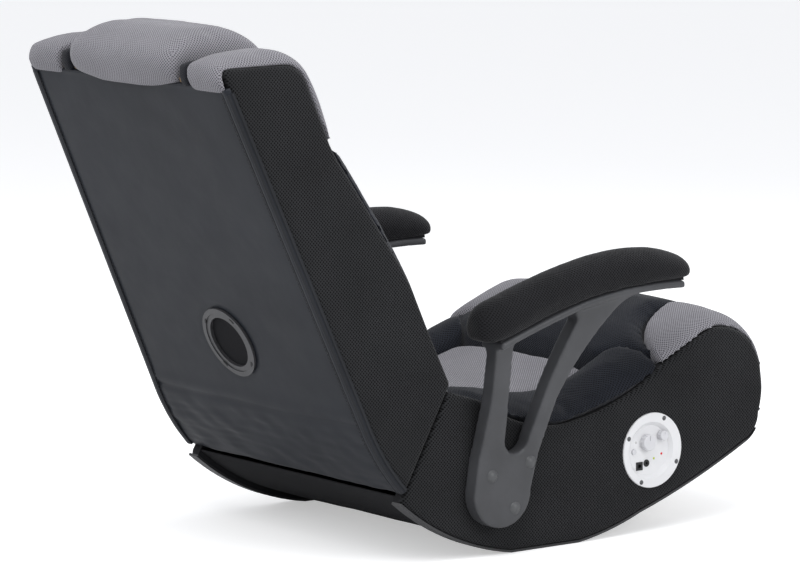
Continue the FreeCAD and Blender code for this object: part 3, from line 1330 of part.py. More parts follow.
def pieces():
    """Every node's name and shape, still counted from the runners' lowest point."""
    nodes = {}

    def pair(name, shape):
        nodes[name + "_left"] = shape
        nodes[name + "_right"] = mirrored(shape)

    pair("seat_side_panel", seat_side_panel())
    nodes["seat_side_panel_right"] = nodes["seat_side_panel_right"].cut(panel_hole())
    pair("seat_side_cover", seat_side_cover())
    nodes["seat_side_cover_right"] = nodes["seat_side_cover_right"].cut(panel_hole())
    for at in panel_screw_points():
        hole = rod(PANEL_SCREW_R, -BODY_HALF_WIDTH - 1.0, -PANEL_OUT + 4.0, at)
        nodes["seat_side_cover_right"] = nodes["seat_side_cover_right"].cut(hole)
        nodes["seat_side_panel_right"] = nodes["seat_side_panel_right"].cut(hole)
    edging = runner_edging()
    nodes["runner_edging"] = Part.makeCompound([edging, mirrored(edging)])
    nodes["seat_front_rail"] = seat_front_rail()
    nodes["seat_rear_rail"] = seat_rear_rail()
    nodes["seat_deck"] = seat_deck()
    nodes["knee_former"] = knee_former()
    nodes["seat_bottom_cover"] = seat_bottom_cover()
    nodes["seat_centre_pad"] = seat_centre_pad()
    pair("seat_bolster", seat_bolster())
    roll, corner = knee_parts()
    nodes["knee_roll"] = roll
    pair("knee_corner", corner)

    pair("arm_bracket", arm_bracket())
    nodes["arm_pad_boards"] = Part.makeCompound([arm_pad_board(), mirrored(arm_pad_board())])
    pair("arm_pad", arm_pad())
    nodes["arm_bolts"] = arm_bolts()
    nodes["arm_tee_nuts"] = arm_tee_nuts()

    nodes["control_panel"] = control_panel()
    nodes["seat_screws"] = Part.makeCompound([arm_pad_screws(), panel_screws()])
    nodes["volume_knob"] = knob(VOLUME_AT, VOLUME_R)
    nodes["bass_knob"] = knob(BASS_AT, BASS_R)
    nodes["power_button"] = power_button()
    nodes["indicator_lamps"] = indicator_lamps()
    nodes["audio_socket"] = audio_socket()
    nodes["power_socket"] = power_socket()
    nodes["amplifier_housing"] = amplifier_housing()
    nodes["amplifier_board"] = amplifier_board()

    pair("back_side_panel", back_side_panel())
    pair("back_side_cover", back_side_cover())
    nodes["back_cover"] = back_cover()
    nodes["back_board"] = back_board()
    nodes["back_edge_piping"] = back_edge_piping()
    nodes["back_front_board"] = back_front_board()
    nodes["back_top_rail"] = back_top_rail()
    nodes["back_bottom_rail"] = back_bottom_rail()
    nodes["back_centre_pad"] = back_centre_pad()
    pair("back_bolster", back_bolster())
    pair("top_roll", top_roll())
    nodes["headrest_roll"] = headrest_roll()
    nodes["headrest_bands"] = headrest_bands()
    nodes["headrest_speakers"] = headrest_speakers()
    nodes["port_ring"] = port_ring()
    nodes["port_screws"] = port_screws()
    nodes["port_grille"] = port_grille()
    nodes["woofer_basket"] = woofer_basket()
    nodes["woofer_magnet"] = woofer_magnet()
    nodes["woofer_cone"] = woofer_cone()

    nodes["hinge_seat_leaves"] = Part.makeCompound([seat_leaf(), mirrored(seat_leaf())])
    nodes["hinge_back_leaves"] = Part.makeCompound([back_leaf(), mirrored(back_leaf())])
    nodes["hinge_pins"] = hinge_pins()
    return nodes


def main():
    os.makedirs("parts", exist_ok=True)
    for name, shape in pieces().items():
        shape.translate(Vector(0, -ORIGIN_Y, 0))
        shape.exportStep("parts/" + name + ".step")
        solids = shape.Solids
        print(name, len(solids), "valid" if shape.isValid() else "INVALID",
              round(shape.Volume / 1000.0, 1), [round(v, 1) for v in (
                  shape.BoundBox.XMin, shape.BoundBox.XMax, shape.BoundBox.YMin, shape.BoundBox.YMax,
                  shape.BoundBox.ZMin, shape.BoundBox.ZMax)])


main()
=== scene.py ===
import json
from math import cos, exp, hypot, pi, radians, sin, sqrt, tan

import bmesh
import bpy
from mathutils import Matrix, Vector, noise
from mathutils.bvhtree import BVHTree
from mathutils.geometry import delaunay_2d_cdt

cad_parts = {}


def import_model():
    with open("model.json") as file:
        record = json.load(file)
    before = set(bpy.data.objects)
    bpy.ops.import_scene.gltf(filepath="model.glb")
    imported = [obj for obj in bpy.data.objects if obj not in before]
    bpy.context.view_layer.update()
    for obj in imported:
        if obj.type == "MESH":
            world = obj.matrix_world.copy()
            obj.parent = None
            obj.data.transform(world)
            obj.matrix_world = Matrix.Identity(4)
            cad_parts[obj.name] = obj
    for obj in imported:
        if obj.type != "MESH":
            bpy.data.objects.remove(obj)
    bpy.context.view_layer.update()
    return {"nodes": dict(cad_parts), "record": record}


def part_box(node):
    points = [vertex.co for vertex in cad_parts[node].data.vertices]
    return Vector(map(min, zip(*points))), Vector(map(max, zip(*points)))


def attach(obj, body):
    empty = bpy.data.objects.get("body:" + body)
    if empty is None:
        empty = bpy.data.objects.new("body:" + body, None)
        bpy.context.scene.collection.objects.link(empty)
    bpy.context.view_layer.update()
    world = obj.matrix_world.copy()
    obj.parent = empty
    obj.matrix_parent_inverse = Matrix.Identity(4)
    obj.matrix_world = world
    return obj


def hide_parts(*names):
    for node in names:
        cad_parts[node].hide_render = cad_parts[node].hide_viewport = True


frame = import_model()
NODES = frame["nodes"]
scene = bpy.context.scene

# Profile points are (y, z) in millimetres, with y counted from the lowest point of the runners
ORIGIN_Y = 57.1
BODY_HALF = 235.0
COVER_T = 8.0
RECLINE = radians(24.4)
BEND = (284.0, 178.0)
BEND_R = 301.0
BEND_TURN = radians(18.6)
REAR_FLAT = 476.0
TAPER = radians(2.2)
TAPER_Z = 175.0
PANEL_CENTRE = (-181.0, 109.0)
PORT_U = 102.0
PORT_OPENING = 0.0415
PORT_FLAT_R = 49.0
PORT_BLEND = 11.0

# Lattice of the mesh: where a hole ends and where it is fully open, as shares of the pitch
HOLE_OUTER = 0.31
HOLE_INNER = 0.17

# Cloth run and the grid of the brackets
PRESSURE = 4.0
LAST_STEP = 20
BRACKET_VOXEL = 0.0019
BRACKET_ROUNDS = 5

# Camera of the photo, in metres and degrees
CAMERA_AT = (-4.685, 3.610 - ORIGIN_Y / 1000.0, 1.127)
CAMERA_AZIMUTH = 232.8
CAMERA_ELEVATION = 7.898
LENS = 203.25
SENSOR = 36.0


def at(x, y, z):
    """Point of the frame in metres from profile millimetres."""
    return Vector((x / 1000.0, (y - ORIGIN_Y) / 1000.0, z / 1000.0))


def back_point(u, depth):
    """Profile point at height u along the back, and depth in front of its rear."""
    return (BEND[0] + u * sin(RECLINE) - depth * cos(RECLINE),
            BEND[1] + u * cos(RECLINE) + depth * sin(RECLINE))


def back_half(z):
    """Half width of the back at one height."""
    return BODY_HALF - tan(TAPER) * (z - TAPER_Z)


# Node helpers for materials

class Shader:
    """Small builder for one material's node tree."""

    def __init__(self, name, color, rough):
        self.mat = bpy.data.materials.new(name)
        self.mat.use_nodes = True
        self.mat.diffuse_color = (*color, 1.0)
        self.tree = self.mat.node_tree
        self.bsdf = self.tree.nodes["Principled BSDF"]
        self.bsdf.inputs["Base Color"].default_value = (*color, 1.0)
        self.bsdf.inputs["Roughness"].default_value = rough

    def node(self, kind, **settings):
        made = self.tree.nodes.new(kind)
        for key, value in settings.items():
            setattr(made, key, value)
        return made

    def link(self, out, socket):
        self.tree.links.new(out, socket)

    def math(self, op, a, b=None, c=None):
        made = self.node("ShaderNodeMath", operation=op)
        for k, value in enumerate((a, b, c)):
            if value is None:
                continue
            if isinstance(value, (int, float)):
                made.inputs[k].default_value = value
            else:
                self.link(value, made.inputs[k])
        return made.outputs[0]

    def coords(self):
        return self.node("ShaderNodeTexCoord").outputs["Object"]

    def axes(self, vector):
        split = self.node("ShaderNodeSeparateXYZ")
        self.link(vector, split.inputs[0])
        return split.outputs

    def noise(self, scale, detail=3.0, rough=0.5, vector=None):
        made = self.node("ShaderNodeTexNoise")
        made.inputs["Scale"].default_value = scale
        made.inputs["Detail"].default_value = detail
        made.inputs["Roughness"].default_value = rough
        self.link(vector or self.coords(), made.inputs["Vector"])
        return made.outputs["Fac"]

    def ramp(self, value, stops):
        made = self.node("ShaderNodeValToRGB")
        self.link(value, made.inputs[0])
        elements = made.color_ramp.elements
        while len(elements) < len(stops):
            elements.new(0.5)
        for element, (place, color) in zip(elements, stops):
            element.position = place
            element.color = (*color, 1.0)
        return made.outputs[0]

    def mix(self, share, a, b):
        made = self.node("ShaderNodeMix", data_type="RGBA")
        for value, socket in ((share, made.inputs[0]), (a, made.inputs[6]), (b, made.inputs[7])):
            if isinstance(value, (int, float)):
                socket.default_value = value
            elif isinstance(value, tuple):
                socket.default_value = (*value, 1.0)
            else:
                self.link(value, socket)
        return made.outputs[2]

    def bump(self, height, strength, distance):
        made = self.node("ShaderNodeBump")
        made.inputs["Strength"].default_value = strength
        made.inputs["Distance"].default_value = distance
        self.link(height, made.inputs["Height"])
        last = self.bsdf.inputs["Normal"]
        if last.is_linked:
            self.link(last.links[0].from_socket, made.inputs["Normal"])
        self.link(made.outputs[0], last)

    def from_middle(self, value, pitch, shift):
        """Distance from the middle of a lattice cell, as a share of its pitch."""
        moved = self.math("ADD", self.math("DIVIDE", value, pitch), shift)
        return self.math("SUBTRACT", self.math("FRACT", moved), 0.5)

    def holes(self, a, b, width, height):
        """Hole mask of a lattice of staggered rows: 1 in a hole, 0 on the threads."""
        near = None
        for shift in (0.0, 0.5):
            da = self.from_middle(a, width, shift)
            db = self.from_middle(b, height, shift)
            square = self.math("ADD", self.math("MULTIPLY", da, da), self.math("MULTIPLY", db, db))
            d = self.math("SQRT", square)
            near = d if near is None else self.math("MINIMUM", near, d)
        soft = self.node("ShaderNodeMapRange", interpolation_type="SMOOTHSTEP")
        soft.inputs["From Min"].default_value = HOLE_OUTER
        soft.inputs["From Max"].default_value = HOLE_INNER
        self.link(near, soft.inputs["Value"])
        return soft.outputs[0]

    def holes_all_round(self, width, height):
        """Hole mask on a surface that faces any way."""
        x, y, z = self.axes(self.coords())
        normal = self.axes(self.node("ShaderNodeNewGeometry").outputs["Normal"])
        weights = [self.math("POWER", self.math("ABSOLUTE", n), 6.0) for n in normal]
        total = self.math("ADD", self.math("ADD", weights[0], weights[1]), weights[2])
        masks = [self.holes(a, b, width, height) for a, b in ((y, z), (x, z), (x, y))]
        summed = None
        for weight, mask in zip(weights, masks):
            part = self.math("MULTIPLY", self.math("DIVIDE", weight, total), mask)
            summed = part if summed is None else self.math("ADD", summed, part)
        return summed


def mesh_fabric(name, thread, hole, cell=0.005, shade=0.25, sheen=0.12, flat=False):
    """Spacer mesh: staggered holes darkened with painted shade, slight colour variation, painted highlights
    on the threads, soft sheen.
    """
    s = Shader(name, thread, 0.85)
    if flat:
        _, y, z = s.axes(s.coords())
        mask = s.holes(y, z, cell, cell)
    else:
        mask = s.holes_all_round(cell, cell)
    cloudy = s.noise(9.0, 4.0, 0.6)
    fine = s.noise(900.0, 2.0, 0.6)
    low = tuple(c * (1.0 - shade) for c in thread)
    high = tuple(min(1.0, c * (1.0 + shade)) for c in thread)
    body = s.ramp(cloudy, [(0.3, low), (0.7, high)])
    # Fine speckle lifts the colour towards a brighter thread colour: painted highlights on the threads.
    body = s.mix(s.math("MULTIPLY", fine, 0.35), body, tuple(min(1.0, c * 1.7) for c in thread))
    # Holes take the darker hole colour: the layer beneath, darkened with painted shade for the depth of the
    # holes.
    s.link(s.mix(mask, body, hole), s.bsdf.inputs["Base Color"])
    s.bump(s.math("SUBTRACT", 1.0, mask), 0.55, 0.0012)
    s.bump(fine, 0.12, 0.0004)
    s.bsdf.inputs["Sheen Weight"].default_value = sheen
    s.bsdf.inputs["Sheen Roughness"].default_value = 0.4
    s.bsdf.inputs["Specular IOR Level"].default_value = 0.12
    return s.mat


def vinyl(name, color, rough):
    """Coated cloth with a fine grain and faint rubbed patches."""
    s = Shader(name, color, rough)
    grain = s.node("ShaderNodeTexVoronoi", feature="DISTANCE_TO_EDGE")
    grain.inputs["Scale"].default_value = 850.0
    s.link(s.coords(), grain.inputs["Vector"])
    patches = s.noise(6.0, 5.0, 0.6)
    s.link(s.ramp(patches, [(0.3, tuple(c * 0.86 for c in color)), (0.72, tuple(c * 1.14 for c in color))]),
           s.bsdf.inputs["Base Color"])
    s.link(s.math("MULTIPLY_ADD", s.noise(25.0, 3.0), 0.16, rough - 0.08), s.bsdf.inputs["Roughness"])
    s.bsdf.inputs["Specular IOR Level"].default_value = 0.16
    s.bump(grain.outputs["Distance"], 0.18, 0.0003)
    s.bump(s.noise(14.0, 3.0, 0.5), 0.25, 0.004)
    return s.mat


def moulded(name, color, rough, grain=0.15, scale=1400.0, wear=0.25):
    """Moulded plastic: fine spark texture, uneven gloss, slightly paler where it is rubbed."""
    s = Shader(name, color, rough)
    fine = s.noise(scale, 2.0, 0.6)
    broad = s.noise(12.0, 4.0, 0.6)
    low = tuple(c * (1.0 - 0.5 * wear) for c in color)
    high = tuple(min(1.0, c * (1.0 + wear)) for c in color)
    s.link(s.ramp(broad, [(0.35, low), (0.7, high)]), s.bsdf.inputs["Base Color"])
    s.link(s.math("MULTIPLY_ADD", broad, 0.18, rough - 0.09), s.bsdf.inputs["Roughness"])
    s.bsdf.inputs["Specular IOR Level"].default_value = 0.35
    s.bump(fine, grain, 0.0003)
    return s.mat


def metal(name, color, rough):
    """Plated steel with fine brushing and darker smears."""
    s = Shader(name, color, rough)
    s.bsdf.inputs["Metallic"].default_value = 0.9
    smear = s.noise(60.0, 4.0, 0.6)
    s.link(s.ramp(smear, [(0.3, tuple(c * 0.75 for c in color)), (0.7, color)]), s.bsdf.inputs["Base Color"])
    s.bump(s.noise(1800.0, 2.0), 0.1, 0.0002)
    return s.mat


def plywood():
    """Birch plywood: long grain and darker streaks."""
    s = Shader("plywood", (0.48, 0.34, 0.20), 0.6)
    stretch = s.node("ShaderNodeMapping")
    stretch.inputs["Scale"].default_value = (1.0, 14.0, 14.0)
    s.link(s.coords(), stretch.inputs[0])
    grain = s.noise(18.0, 6.0, 0.7, stretch.outputs[0])
    stops = [(0.3, (0.30, 0.19, 0.10)), (0.65, (0.56, 0.41, 0.25))]
    s.link(s.ramp(grain, stops), s.bsdf.inputs["Base Color"])
    s.bump(grain, 0.2, 0.0006)
    return s.mat


def weave(name, color, rough, pitch):
    """Plain cloth, over and under, seen close, with painted highlight on the raised threads and painted shade
    between them.
    """
    s = Shader(name, color, rough)
    x, y, z = s.axes(s.coords())
    across = s.math("SINE", s.math("MULTIPLY", x, 2.0 * pi / pitch))
    along = s.math("SINE", s.math("MULTIPLY", s.math("ADD", y, z), 2.0 * pi / pitch))
    threads = s.math("MULTIPLY", across, along)
    # Thread crowns get the brighter colour and the hollows keep the base colour: painted highlight and shade
    # of the weave's relief.
    high = tuple(min(1.0, c * 2.2 + 0.004) for c in color)
    s.link(s.mix(s.math("MULTIPLY_ADD", threads, 0.5, 0.5), color, high), s.bsdf.inputs["Base Color"])
    s.bump(threads, 0.4, 0.0004)
    s.bsdf.inputs["Specular IOR Level"].default_value = 0.12
    return s.mat


def lamp_plastic():
    """Two small lamps, one red and one yellow-green, and a third unlit."""
    s = Shader("lamp_plastic", (0.75, 0.12, 0.08), 0.25)
    y = s.axes(s.coords())[1]
    red = s.math("LESS_THAN", y, (PANEL_CENTRE[0] - 12.0 - ORIGIN_Y) / 1000.0)
    clear = s.math("GREATER_THAN", y, (PANEL_CENTRE[0] + 10.0 - ORIGIN_Y) / 1000.0)
    glow = s.mix(red, (0.45, 0.55, 0.05), (0.75, 0.03, 0.03))
    s.link(s.mix(clear, glow, (0.5, 0.5, 0.5)), s.bsdf.inputs["Base Color"])
    s.bump(s.noise(1500.0), 0.05, 0.0002)
    return s.mat


MAT = {
    # The second colour of each mesh is its hole colour, darkened with painted shade for the depth of the
    # holes.
    "side_mesh": mesh_fabric("side_mesh", (0.019, 0.0195, 0.021), (0.0012, 0.0012, 0.0014), 0.0048,
                             flat=True),
    "dark_mesh": mesh_fabric("dark_mesh", (0.014, 0.016, 0.022), (0.002, 0.002, 0.003), 0.0044),
    "grey_mesh": mesh_fabric("grey_mesh", (0.235, 0.23, 0.25), (0.06, 0.058, 0.066), 0.0040, 0.12, 0.2),
    "band_mesh": mesh_fabric("band_mesh", (0.016, 0.017, 0.022), (0.005, 0.005, 0.006), 0.003),
    "arm_mesh": mesh_fabric("arm_mesh", (0.014, 0.014, 0.016), (0.0015, 0.0015, 0.0015), 0.0044),
    "under_cloth": weave("under_cloth", (0.010, 0.010, 0.011), 0.9, 0.0016),
    "grille_cloth": weave("grille_cloth", (0.006, 0.006, 0.007), 0.85, 0.0022),
    "rear_vinyl": vinyl("rear_vinyl", (0.016, 0.018, 0.023), 0.44),
    "piping_vinyl": vinyl("piping_vinyl", (0.018, 0.019, 0.022), 0.34),
    "plywood": plywood(),
    "edging_plastic": moulded("edging_plastic", (0.03, 0.03, 0.032), 0.42),
    "bracket_plastic": moulded("bracket_plastic", (0.052, 0.053, 0.057), 0.40),
    "white_plastic": moulded("white_plastic", (0.70, 0.70, 0.71), 0.35, 0.05, 900.0, 0.04),
    "knob_plastic": moulded("knob_plastic", (0.60, 0.60, 0.62), 0.3, 0.04, 900.0, 0.04),
    "button_plastic": moulded("button_plastic", (0.58, 0.58, 0.60), 0.3, 0.04, 900.0, 0.04),
    "lamp_plastic": lamp_plastic(),
    "socket_plastic": moulded("socket_plastic", (0.012, 0.012, 0.013), 0.4),
    "black_steel": moulded("black_steel", (0.075, 0.077, 0.08), 0.38, 0.08),
    "bright_steel": metal("bright_steel", (0.55, 0.55, 0.56), 0.35),
    "amp_plastic": moulded("amp_plastic", (0.03, 0.03, 0.032), 0.5),
    "circuit_board": moulded("circuit_board", (0.03, 0.16, 0.06), 0.45),
    "port_plastic": moulded("port_plastic", (0.045, 0.045, 0.048), 0.30),
    "speaker_plastic": moulded("speaker_plastic", (0.02, 0.02, 0.022), 0.5),
    "magnet_steel": metal("magnet_steel", (0.14, 0.14, 0.145), 0.45),
    "cone_paper": weave("cone_paper", (0.03, 0.03, 0.03), 0.9, 0.0012),
}


def dress(obj, slot):
    """Gives an object one material of the record's slots."""
    obj.data.materials.clear()
    obj.data.materials.append(MAT[slot])


for row in frame["record"]["subparts"]:
    dress(NODES[row["node"]], row["material_slot"])


# Mesh helpers

def new_object(name, mesh):
    obj = bpy.data.objects.new(name, mesh)
    scene.collection.objects.link(obj)
    return obj


def smooth_faces(mesh):
    mesh.polygons.foreach_set("use_smooth", [True] * len(mesh.polygons))
    mesh.update()


def applied(obj):
    """Object's mesh with its modifiers applied."""
    graph = bpy.context.evaluated_depsgraph_get()
    made = bpy.data.meshes.new_from_object(obj.evaluated_get(graph))
    obj.modifiers.clear()
    old = obj.data
    obj.data = made
    bpy.data.meshes.remove(old)
    return obj


def relax(mesh, rounds, factor=0.5):
    """Evens out a mesh by moving each vertex towards the middle of its neighbours."""
    work = bmesh.new()
    work.from_mesh(mesh)
    for _ in range(rounds):
        bmesh.ops.smooth_vert(work, verts=work.verts, factor=factor,
                              use_axis_x=True, use_axis_y=True, use_axis_z=True)
    work.to_mesh(mesh)
    work.free()


def remeshed(name, node, voxel, inset=0.0):
    """Closed even mesh over a CAD solid, drawn in by inset."""
    mesh = NODES[node].data.copy()
    work = bmesh.new()
    work.from_mesh(mesh)
    bmesh.ops.remove_doubles(work, verts=work.verts, dist=1e-6)
    work.to_mesh(mesh)
    work.free()
    obj = new_object(name, mesh)
    grid = obj.modifiers.new("grid", "REMESH")
    grid.mode = "VOXEL"
    grid.voxel_size = voxel
    applied(obj)
    relax(obj.data, 4)
    if inset:
        obj.data.update()
        moves = [v.normal * -inset for v in obj.data.vertices]
        for v, move in zip(obj.data.vertices, moves):
            v.co += move
    return obj


def subdivide(obj):
    mod = obj.modifiers.new("fine", "SUBSURF")
    mod.levels = 1
    mod.render_levels = 1
    applied(obj)
    smooth_faces(obj.data)


def mirrored(obj, name):
    mesh = obj.data.copy()
    mesh.transform(Matrix.Scale(-1.0, 4, (1, 0, 0)))
    mesh.flip_normals()
    return new_object(name, mesh)


def seat_it(obj, body, slot, *nodes):
    """Final steps of a piece: its material, the nodes it stands for, and the body it rides on."""
    dress(obj, slot)
    smooth_faces(obj.data)
    if nodes:
        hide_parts(*nodes)
    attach(obj, body)
    return obj


# Padded pieces, blown up by a cloth simulation

SOFT = []


def plan_pad(name, node, body, slot, cap, voxel=0.005, inset=0.0015, fill=0.7, twin=None):
    obj = remeshed(name, node, voxel, inset)
    SOFT.append({"obj": obj, "node": node, "body": body, "slot": slot, "cap": cap, "fill": fill, "twin": twin,
                 "rest": [v.co.copy() for v in obj.data.vertices]})
    return obj


def blow_up():
    """One run of the cloth for every pad at once."""
    for row in SOFT:
        cloth = row["obj"].modifiers.new("cloth", "CLOTH")
        settings = cloth.settings
        settings.quality = 3
        settings.mass = 0.35
        settings.tension_stiffness = 12.0
        settings.compression_stiffness = 12.0
        settings.shear_stiffness = 5.0
        settings.bending_stiffness = 1.5
        settings.use_pressure = True
        settings.uniform_pressure_force = PRESSURE
        settings.effector_weights.gravity = 0.0
        cloth.collision_settings.use_collision = False
    for step in range(1, LAST_STEP + 1):
        scene.frame_set(step)
    for row in SOFT:
        applied(row["obj"])
        cap = row["cap"]
        for v, rest in zip(row["obj"].data.vertices, row["rest"]):
            move = v.co - rest
            v.co = rest + Vector([max(-c, min(c, m)) for c, m in zip(cap, move)])
    scene.frame_set(1)


def finish_pads():
    for row in SOFT:
        obj = row["obj"]
        relax(obj.data, 2)
        subdivide(obj)
        ripples = [v.normal * (noise.noise(v.co * 26.0) * 0.0005 + noise.noise(v.co * 70.0) * 0.00018)
                   for v in obj.data.vertices]
        for v, ripple in zip(obj.data.vertices, ripples):
            v.co += ripple
        obj.data.update()
        if row["twin"]:
            other = mirrored(obj, row["twin"][0])
            seat_it(other, row["body"], row["slot"], row["twin"][1])
        seat_it(obj, row["body"], row["slot"], row["node"])


plan_pad("pad_seat_centre", "seat_centre_pad", "seat", "grey_mesh", (0.001, 0.003, 0.003), 0.006)
plan_pad("pad_seat_bolster_left", "seat_bolster_left", "seat", "dark_mesh", (0.001, 0.003, 0.005), 0.005,
         twin=("pad_seat_bolster_right", "seat_bolster_right"))
plan_pad("pad_knee_roll", "knee_roll", "seat", "dark_mesh", (0.001, 0.004, 0.004), 0.006)
plan_pad("pad_knee_corner_left", "knee_corner_left", "seat", "grey_mesh", (0.001, 0.003, 0.004), 0.005,
         twin=("pad_knee_corner_right", "knee_corner_right"))
plan_pad("pad_back_centre", "back_centre_pad", "back", "grey_mesh", (0.001, 0.003, 0.002), 0.006, 0.003)
plan_pad("pad_back_bolster_left", "back_bolster_left", "back", "dark_mesh", (0.001, 0.006, 0.003), 0.005,
         twin=("pad_back_bolster_right", "back_bolster_right"))
plan_pad("pad_headrest", "headrest_roll", "back", "grey_mesh", (0.0015, 0.006, 0.005), 0.005)
plan_pad("pad_top_roll_left", "top_roll_left", "back", "grey_mesh", (0.001, 0.003, 0.003), 0.004, 0.001,
         twin=("pad_top_roll_right", "top_roll_right"))
plan_pad("pad_arm_left", "arm_pad_left", "seat", "arm_mesh", (0.003, 0.004, 0.002), 0.004, 0.001, 0.8,
         twin=("pad_arm_right", "arm_pad_right"))
plan_pad("pad_headrest_bands", "headrest_bands", "back", "band_mesh", (0.0005, 0.002, 0.002), 0.004, 0.0)
blow_up()
finish_pads()


# Padded side covers: flat panels with soft rims, built from the outline of their CAD node

def outer_loop(node, face_x, turn):
    """Longest edge loop of a node's face at face_x, as (y, z) points in metres, after the turn."""
    work = bmesh.new()
    work.from_mesh(NODES[node].data)
    bmesh.ops.transform(work, matrix=turn, verts=work.verts)
    bmesh.ops.remove_doubles(work, verts=work.verts, dist=2e-6)
    steps = {}
    for edge in work.edges:
        a, b = edge.verts
        if abs(a.co.x - face_x) > 2e-5 or abs(b.co.x - face_x) > 2e-5:
            continue
        flat = [face for face in edge.link_faces if abs(face.normal.x) > 0.99]
        if len(flat) == 1 and len(edge.link_faces) == 2:
            steps.setdefault(a.index, []).append(b.index)
            steps.setdefault(b.index, []).append(a.index)
    work.verts.ensure_lookup_table()
    best = []
    left = set(steps)
    while left:
        here = left.pop()
        loop = [here]
        while True:
            onward = [k for k in steps[here] if k in left]
            if not onward:
                break
            here = onward[0]
            left.discard(here)
            loop.append(here)
        points = [(work.verts[k].co.y, work.verts[k].co.z) for k in loop]
        if len(points) > len(best) and length_of(points) > 0.5:
            best = points
    work.free()
    return best


def length_of(points):
    return sum(hypot(b[0] - a[0], b[1] - a[1]) for a, b in zip(points, points[1:] + points[:1]))


def resampled(points, spacing):
    """Closed loop of evenly spaced points."""
    total = length_of(points)
    count = max(8, round(total / spacing))
    made = []
    step = total / count
    due = 0.0
    run = 0.0
    for a, b in zip(points, points[1:] + points[:1]):
        piece = hypot(b[0] - a[0], b[1] - a[1])
        while piece > 0 and due <= run + piece - 1e-12 and len(made) < count:
            share = (due - run) / piece
            made.append((a[0] + share * (b[0] - a[0]), a[1] + share * (b[1] - a[1])))
            due += step
        run += piece
    return made


def gap_to(point, loop):
    """Shortest distance from a point to a closed loop."""
    best = 1e9
    px, py = point
    for a, b in zip(loop, loop[1:] + loop[:1]):
        ex, ey = b[0] - a[0], b[1] - a[1]
        span = ex * ex + ey * ey
        t = 0.0 if span == 0 else max(0.0, min(1.0, ((px - a[0]) * ex + (py - a[1]) * ey) / span))
        best = min(best, hypot(px - a[0] - t * ex, py - a[1] - t * ey))
    return best


def inside(point, loop):
    px, py = point
    odd = False
    for a, b in zip(loop, loop[1:] + loop[:1]):
        if (a[1] > py) != (b[1] > py) and px < a[0] + (py - a[1]) * (b[0] - a[0]) / (b[1] - a[1]):
            odd = not odd
    return odd


# Points of a side cover, in metres: its rim, the rings inside its outline, its grid and its hole
RIM_R = 0.0055
OUTLINE_STEP = 0.006
RING_DEPTHS = (0.0005, 0.0015, 0.003, 0.0055, 0.010)
GRID_STEP = 0.009
GRID_MARGIN = 0.015
HOLE_SIDES = 64
HOLE_MARGIN = 0.003
FIELD_DEPTH = 0.05
PANEL_HOLE_R = 0.0435


def rim_height(d):
    """How far the cover's face lies under its flat at distance d from its edge."""
    under = RIM_R - sqrt(max(0.0, RIM_R ** 2 - (RIM_R - min(d, RIM_R)) ** 2))
    crown = 0.0016 * (1.0 - exp(-max(0.0, d - RIM_R) / 0.03))
    return crown - under


